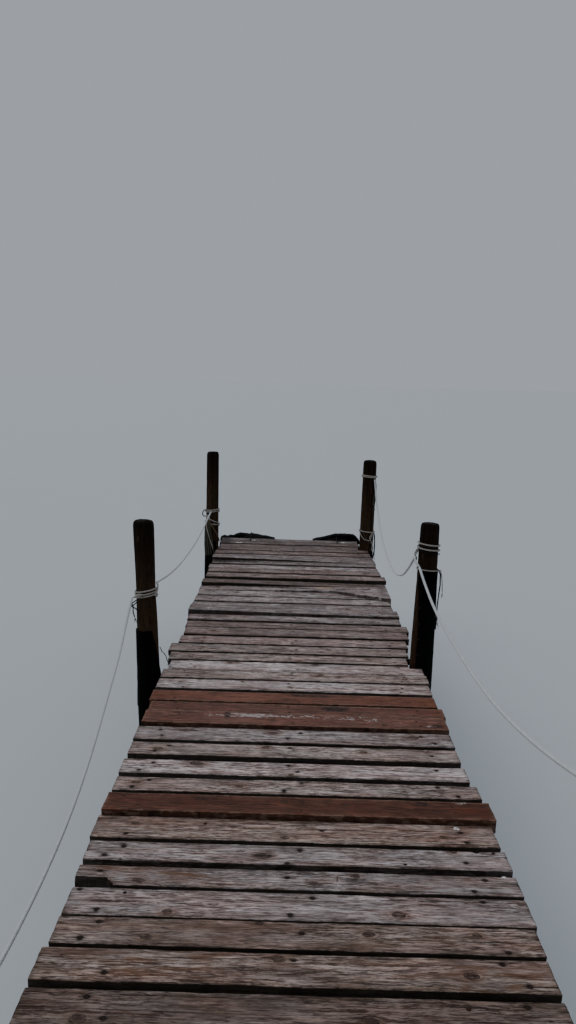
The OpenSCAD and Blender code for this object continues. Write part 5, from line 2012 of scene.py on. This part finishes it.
@dataclass
class Lashing:
    """The turns, knots and loose ends on one post."""

    post: Post
    knot_step: float = 0.0035
    strand_step: float = 0.004
    yarns: int = 7
    yarn: Laid = Laid(0.0022, sides=6, depth=0.8)

    def build(self) -> None:
        """Makes one piece for each kind of rope on the post."""
        uneven = Uneven(700 + 10 * self.post.bent + self.post.side)
        makers = {Turns: self.wind, Knot: self.knot, Strand: self.strand}
        shapes: dict[Finish, Shape] = {}
        for item in LASHINGS[self.post.tag]:
            makers[type(item)](shapes.setdefault(item.finish, Shape()), item, uneven)
        for finish, shape in shapes.items():
            stands_for = () if finish is Finish.HAND_ROPE else (f"lashing_{self.post.tag}",)
            shape.piece(f"{finish.value.name}_{self.post.tag}", finish, *stands_for, angle=70)

    def wind(self, shape: Shape, turns: Turns, uneven: Uneven) -> None:
        """Adds rope wound round the post.

        Args:
            shape: mesh in the making.
            turns: the turns.
            uneven: draws for how they wander.
        """
        middle, gap, tilt, diameter = metres(turns.height, turns.gap, turns.tilt, turns.diameter)
        angle = np.arange(0, 360.0 * turns.count + 25, 3.5)
        drop = gap * (angle / 360.0 - turns.count / 2.0)
        rise = -tilt * np.cos(np.radians(turns.start + angle))
        height = middle - drop + rise + 0.0015 * uneven.line(angle, 90.0)
        off = diameter / 2 + 0.0003 + np.maximum(0.0012 * uneven.line(angle, 70.0), 0)
        Laid(diameter, sides=12).sweep(shape, self.post.around(turns.start + angle, height, off))

    def knot(self, shape: Shape, knot: Knot, uneven: Uneven) -> None:
        """Adds a tied knot that lies on the turns.

        Args:
            shape: mesh in the making.
            knot: the knot.
            uneven: draws for how it is turned.
        """
        middle, size, diameter = metres(knot.height, knot.size, knot.diameter)
        t = circle(44)
        turn = uneven.pick(0, 6)
        # The circle round this trefoil is 6 across before it is scaled, and 6.2 with some room
        flat = np.array([np.sin(t) + 2 * np.sin(2 * t), np.cos(t) - 2 * np.cos(2 * t), -np.sin(3 * t) * 1.25])
        across, up, lift = flat * (size / 6.2)
        x = across * math.cos(turn) - up * math.sin(turn)
        y = (across * math.sin(turn) + up * math.cos(turn)) * 1.15
        reach = float(self.post.radius(middle))
        path = self.post.around(knot.angle + np.degrees(x / reach), middle + y, diameter * 1.25 + lift)
        path = smooth_path(path, self.knot_step, closed=True)
        Laid(diameter, sides=12).sweep(shape, path, closed=True)

    def strand(self, shape: Shape, strand: Strand, uneven: Uneven) -> None:
        """Adds a loose strand, and the yarns that its end comes apart into.

        Args:
            shape: mesh in the making.
            strand: the strand.
            uneven: draws for the yarns.
        """
        points = np.array(strand.points) / (1, 1000, 1000)
        points[:, 0] = np.degrees(np.unwrap(np.radians(points[:, 0])))
        given = np.arange(len(points))
        fine = np.linspace(0, len(points) - 1, 4 * len(points) - 3)
        angle, height, off = (np.interp(fine, given, column) for column in points.T)
        path = smooth_path(self.post.around(angle, height, off), self.strand_step)
        Laid(strand.diameter / 1000, sides=9, lay=3.0).sweep(shape, path)
        if not strand.frayed:
            return
        end, back = path[-1], path[-4]
        ahead = (end - back) / np.linalg.norm(end - back)
        for _ in range(self.yarns):
            away = np.array([uneven.pick(-1, 1), uneven.pick(-1, 1), uneven.pick(-1, 0.3)])
            reach = uneven.pick(0.012, 0.030)
            tip = end + ahead * reach * 0.8 + away * reach * 0.35 + np.array([0, 0, -0.3 * reach])
            middle = end + ahead * reach * 0.45 + away * reach * 0.10
            self.yarn.sweep(shape, smooth_path(np.stack([end - ahead * 0.004, middle, tip]), 0.006))


# A fender flap's crest: places across the deck, and heights there above it
FLAPS = {
    -1: ((-0.69, -0.016), (-0.66, -0.003), (-0.63, -0.010), (-0.60, 0.001), (-0.575, -0.002), (-0.55, 0.012),
         (-0.51, 0.024), (-0.46, 0.020), (-0.40, 0.014), (-0.33, 0.008), (-0.25, 0.000), (-0.18, -0.017)),
    1: ((0.18, -0.018), (0.22, -0.004), (0.28, 0.009), (0.34, 0.024), (0.385, 0.038), (0.44, 0.041),
        (0.50, 0.043), (0.56, 0.040), (0.59, 0.020), (0.62, -0.012)),
}
# A point of a tyre's section: radius, place across, and how far a cross groove cuts in there
TyrePoint = tuple[float, float, float]


@dataclass
class Tyre:
    """An old tyre that hangs from the lake end as a fender, with its line.

    Grooves holds the places across of the grooves that run round it, and steps the angles to each block.
    """

    side: int
    radius: float = 0.320
    hole: float = 0.185
    width: float = 0.170
    shoulder: float = 0.038
    bead: float = 0.011
    middle_x: float = 0.400
    rise: float = 0.025
    blocks: int = 66
    steps: int = 4
    grooves: tuple[float, ...] = (-0.034, 0.0, 0.034)
    groove: float = 0.006
    clear: float = 0.0003

    @property
    def tag(self) -> str:
        """Side, as the nodes are named."""
        return "left" if self.side < 0 else "right"

    @property
    def centre_z(self) -> float:
        """Height of the tyre's middle."""
        return DECK_TOP + self.rise - self.radius

    def tread(self) -> list[TyrePoint]:
        """Outline of the tread.

        Returns:
            Its points, from the left edge to the right one.
        """
        crown = self.radius
        edge = [(crown - 0.0016, 0.0455, 0.0045), (crown - 0.0008, 0.0395, 0.0045)]
        out = [(radius, -across, cut) for radius, across, cut in edge]
        for middle in self.grooves:
            out += [(crown, middle - 0.0047, 0.0), (crown - self.groove, middle - 0.0034, 0.0),
                    (crown - self.groove, middle + 0.0034, 0.0), (crown, middle + 0.0047, 0.0)]
            if middle < self.grooves[-1]:
                out += [(crown, middle + 0.011, 0.003), (crown, middle + 0.023, 0.003)]
        return out + edge[::-1]

    def wall(self) -> list[TyrePoint]:
        """Outline of the right half beside the tread.

        Returns:
            Its points, from the tread's edge by shoulder, wall and bead to inside the crown.
        """
        half, crown, bead = self.width / 2, self.radius, self.bead
        out: list[TyrePoint] = []
        for degrees, cut in ((78, 0.005), (62, 0.005), (44, 0.004), (26, 0.0), (12, 0.0), (3, 0.0)):
            angle = math.radians(degrees)
            out.append((crown - self.shoulder + self.shoulder * math.sin(angle),
                        half - self.shoulder + self.shoulder * math.cos(angle), cut))
        outside = ((0.048, 0.0), (0.056, 0.0012), (0.060, 0.0), (0.076, 0.0010), (0.088, 0.0022),
                   (0.092, 0.0008), (0.108, 0.0026), (0.118, 0.0012), (0.121, 0.0024))
        out += [(crown - depth, half - sunk, 0.0) for depth, sunk in outside]
        out.append((self.hole + 0.008, half - 0.0020, 0.0))
        for angle in map(math.radians, (60, 20, -20, -60, -100, -140)):
            out.append((self.hole + bead - bead * math.cos(angle),
                        half - 0.001 - bead + bead * math.sin(angle), 0.0))
        inside = ((self.hole + 0.020, half - 0.0105), (crown - 0.075, half - 0.0095),
                  (crown - 0.048, half - 0.012), (crown - 0.028, half - 0.024),
                  (crown - 0.0165, half - 0.042), (crown - 0.0145, 0.018))
        return out + [(radius, across, 0.0) for radius, across in inside]

    def build(self) -> None:
        """Makes the tyre, its line and its flap."""
        wall = self.wall()
        mirrored = [(radius, -across, cut) for radius, across, cut in wall[::-1]]
        radius, across, cut = np.array(self.tread() + wall + [(self.radius - 0.0145, 0.0, 0.0)] + mirrored).T
        count = self.blocks * self.steps
        angle = circle(count)
        uneven = Uneven(31 + self.side)
        # The first two angles of each block lie in a cross groove
        groove = np.array([1.0, 0.96, 0.0, 0.0])[np.arange(count) % self.steps]
        worn = 0.0008 * (1 + uneven.line(angle, 0.5))[:, None] * (radius > self.radius - 0.02)[None, :]
        r = radius[None, :] - cut[None, :] * groove[:, None] - worn
        squash = 1 - 0.004 * np.clip(np.cos(angle), 0, 1)[:, None]
        near = LAKE_END + self.clear
        x = self.side * self.middle_x + r * np.sin(angle)[:, None]
        y = np.clip(near + self.width / 2 + across, near, near + self.width)
        z = self.centre_z + r * np.cos(angle)[:, None] * squash
        shape = Shape()
        points = np.stack(np.broadcast_arrays(x, y, z), -1)
        shape.add(points, band(count, len(radius), flip=True, closed=True))
        shape.piece(f"fender_{self.tag}", Finish.TYRE, f"fender_{self.tag}", angle=32)
        self.line()
        self.flap()

    def flap(self) -> None:
        """A stiff, torn piece of rubber sheet that lies over the tyre and its line."""
        uneven = Uneven(59 + self.side)
        crest_x, crest_z = zip(*FLAPS[self.side])
        x, share = np.meshgrid(np.linspace(crest_x[0], crest_x[-1], 64), np.linspace(0, 1, 20), indexing="ij")
        crest = np.interp(x, crest_x, crest_z) + 0.003 * np.abs(uneven.field(x, share, 0.03, 0.4))
        rise = np.clip(share / 0.16, 0, 1)
        z = DECK_TOP - 0.030 + (crest + 0.030) * rise - 0.022 * np.clip(share / 0.25 - 3, 0, 1) ** 1.5
        torn = 0.010 * np.abs(uneven.line(x, 0.025)) * (share > 0.5)
        y = LAKE_END + 0.0025 + 0.012 * rise + 0.157 * share - torn
        top = np.stack([x, y - 0.0020 * (1 - rise), z + 0.0030 * rise], -1)
        under = np.stack([x, y + 0.0010 * (1 - rise), z], -1)
        # The line comes through a slit in the edge that faces the deck
        slit = (share[1:, 1:] <= 0.20) & (np.abs(x[1:, 1:] - 0.004 - self.side * self.middle_x) <= 0.009)
        shape = Shape()
        shape.add(np.stack([top, under]), sheet(~slit, True))
        shape.piece(f"fender_flap_{self.tag}", Finish.SLEEVE, angle=50)

    def line(self) -> None:
        """The line that goes round the end board and through the tyre."""
        clear = LINE_D / 2 + 0.0006
        top = self.centre_z + self.radius
        inside = self.centre_z + self.hole - clear
        gap = LAKE_END - 0.1275
        over = DECK_TOP + clear
        far = LAKE_END + 0.1731
        route = ((gap, inside + 0.02), (gap, over - 0.012), (gap + 0.014, over + 0.001),
                 (LAKE_END - 0.05, over + 0.003), (LAKE_END + 0.010, over + 0.016),
                 (LAKE_END + 0.045, top + clear), (LAKE_END + 0.125, top + clear),
                 (LAKE_END + 0.156, top - 0.009), (far, top - 0.045),
                 (far, inside + 0.03), (LAKE_END + 0.158, inside + 0.002), (LAKE_END + 0.10, inside),
                 (LAKE_END, inside), (gap + 0.02, inside + 0.003))
        points = np.array([(self.side * self.middle_x, y, z) for y, z in route])
        shape = Shape()
        Laid(LINE_D, sides=12).sweep(shape, smooth_path(points, 0.004, closed=True), closed=True)
        shape.piece(f"fender_line_{self.tag}", Finish.TARRED, f"fender_line_{self.tag}", angle=70)


def stand(name: str, data: bpy.types.ID, turn: np.ndarray, place: Colour) -> bpy.types.Object:
    """Adds a camera or a lamp to the scene.

    Args:
        name: its name.
        data: what it is.
        turn: rows of its rotation.
        place: where it stands.

    Returns:
        The new object.
    """
    thing = bpy.data.objects.new(name, data)
    thing.matrix_world = Matrix([(*turn[k], place[k]) for k in range(3)] + [(0, 0, 0, 1)])
    bpy.context.scene.collection.objects.link(thing)
    return thing


@dataclass(frozen=True)
class PhotoCamera:
    """The photograph's camera: where it stands, how it is turned, and its lens.

    The lens is 799 pixels long where the longer side of the picture is 1024, on a sensor of 36 mm.
    """

    place: tuple[float, float, float] = (-0.052, -2.795, 2.45)
    turn: tuple[tuple[float, float, float], ...] = (
        (0.99956634, -0.02941908, 0.00128443), (0.00617025, 0.16659673, -0.98600581),
        (0.0287934, 0.98558614, 0.166706))
    sensor: float = 36.0
    lens: float = 799 / 1024 * 36

    def build(self) -> None:
        """Adds the camera."""
        data = bpy.data.cameras.new("photo_camera")
        data.lens, data.sensor_width, data.sensor_fit = self.lens, self.sensor, "AUTO"
        bpy.context.scene.camera = stand("photo_camera", data, self.turn, self.place)


@dataclass(frozen=True)
class SoftLight:
    """A distant, very wide lamp: where it stands seen from the deck, its spread in degrees and its power."""

    name: str
    place: tuple[float, float, float]
    spread: float
    power: float
    colour: Colour = (1.0, 1.0, 1.0)

    def build(self) -> None:
        """Adds the lamp."""
        data = bpy.data.lights.new(self.name, "SUN")
        data.energy, data.angle, data.color = self.power, math.radians(self.spread), self.colour
        back = np.array(self.place) / np.linalg.norm(self.place)
        right = np.cross((0, 0, 1), back)
        right /= np.linalg.norm(right)
        stand(self.name, data, np.stack([right, np.cross(back, right), back], 1), self.place)


@dataclass
class Studio:
    """A pale floor and soft light."""

    floor_half: float = 300.0
    floor_colour: Colour = (0.60, 0.63, 0.66)
    sky: Colour = (0.60, 0.65, 0.71)
    sky_strength: float = 0.62
    lamps: tuple[SoftLight, ...] = (
        SoftLight("ahead_lamp", (-3.0, 9.0, 7.0), 40.0, 0.75, (0.95, 0.97, 1.0)),
        SoftLight("left_lamp", (-8.0, -3.0, 7.0), 50.0, 0.35, (1.0, 0.97, 0.94)),
    )

    def build(self) -> None:
        """Adds the floor, the sky and the lamps."""
        mesh = bpy.data.meshes.new("floor")
        half = self.floor_half
        corners = [(-half, -half, 0), (half, -half, 0), (half, half, 0), (-half, half, 0)]
        mesh.from_pydata(corners, [], [(0, 1, 2, 3)])
        floor = bpy.data.objects.new("floor", mesh)
        bpy.context.scene.collection.objects.link(floor)
        material, g, shader = new_material("floor_paint")
        cloud = g.noise(g.add("ShaderNodeTexCoord", {}).outputs["Object"], (0.8, 0.8, 0.8), 3.0)
        darker = tuple(0.97 * part for part in self.floor_colour)
        g.put(shader.inputs["Base Color"], g.mix(cloud, darker, self.floor_colour))
        shader.inputs["Roughness"].default_value = 0.9
        shader.inputs["Specular IOR Level"].default_value = 0.1
        mesh.materials.append(material)
        world = bpy.data.worlds.new("studio_sky")
        bpy.context.scene.world = world
        world.use_nodes = True
        back = world.node_tree.nodes["Background"]
        back.inputs["Color"].default_value = rgba(self.sky)
        back.inputs["Strength"].default_value = self.sky_strength
        for lamp in self.lamps:
            lamp.build()


def main() -> None:
    """Builds the camera, the effects, the ropes, the studio and the jetty, in that order."""
    logging.basicConfig(level=logging.INFO, format="%(message)s")
    PhotoCamera().build()
    for effect in (build_grain_effect, build_weather_effect, build_mottle_effect, build_lay_effect):
        effect()
    HandRopes().build()
    Studio().build()
    for side in (-1, 1):
        for bent in range(1, 5):
            post = Post(side, bent)
            post.build()
            Lashing(post).build()
    Frame().build()
    Deck().build()
    for side in (-1, 1):
        Tyre(side).build()


if __name__ == "__main__":
    main()
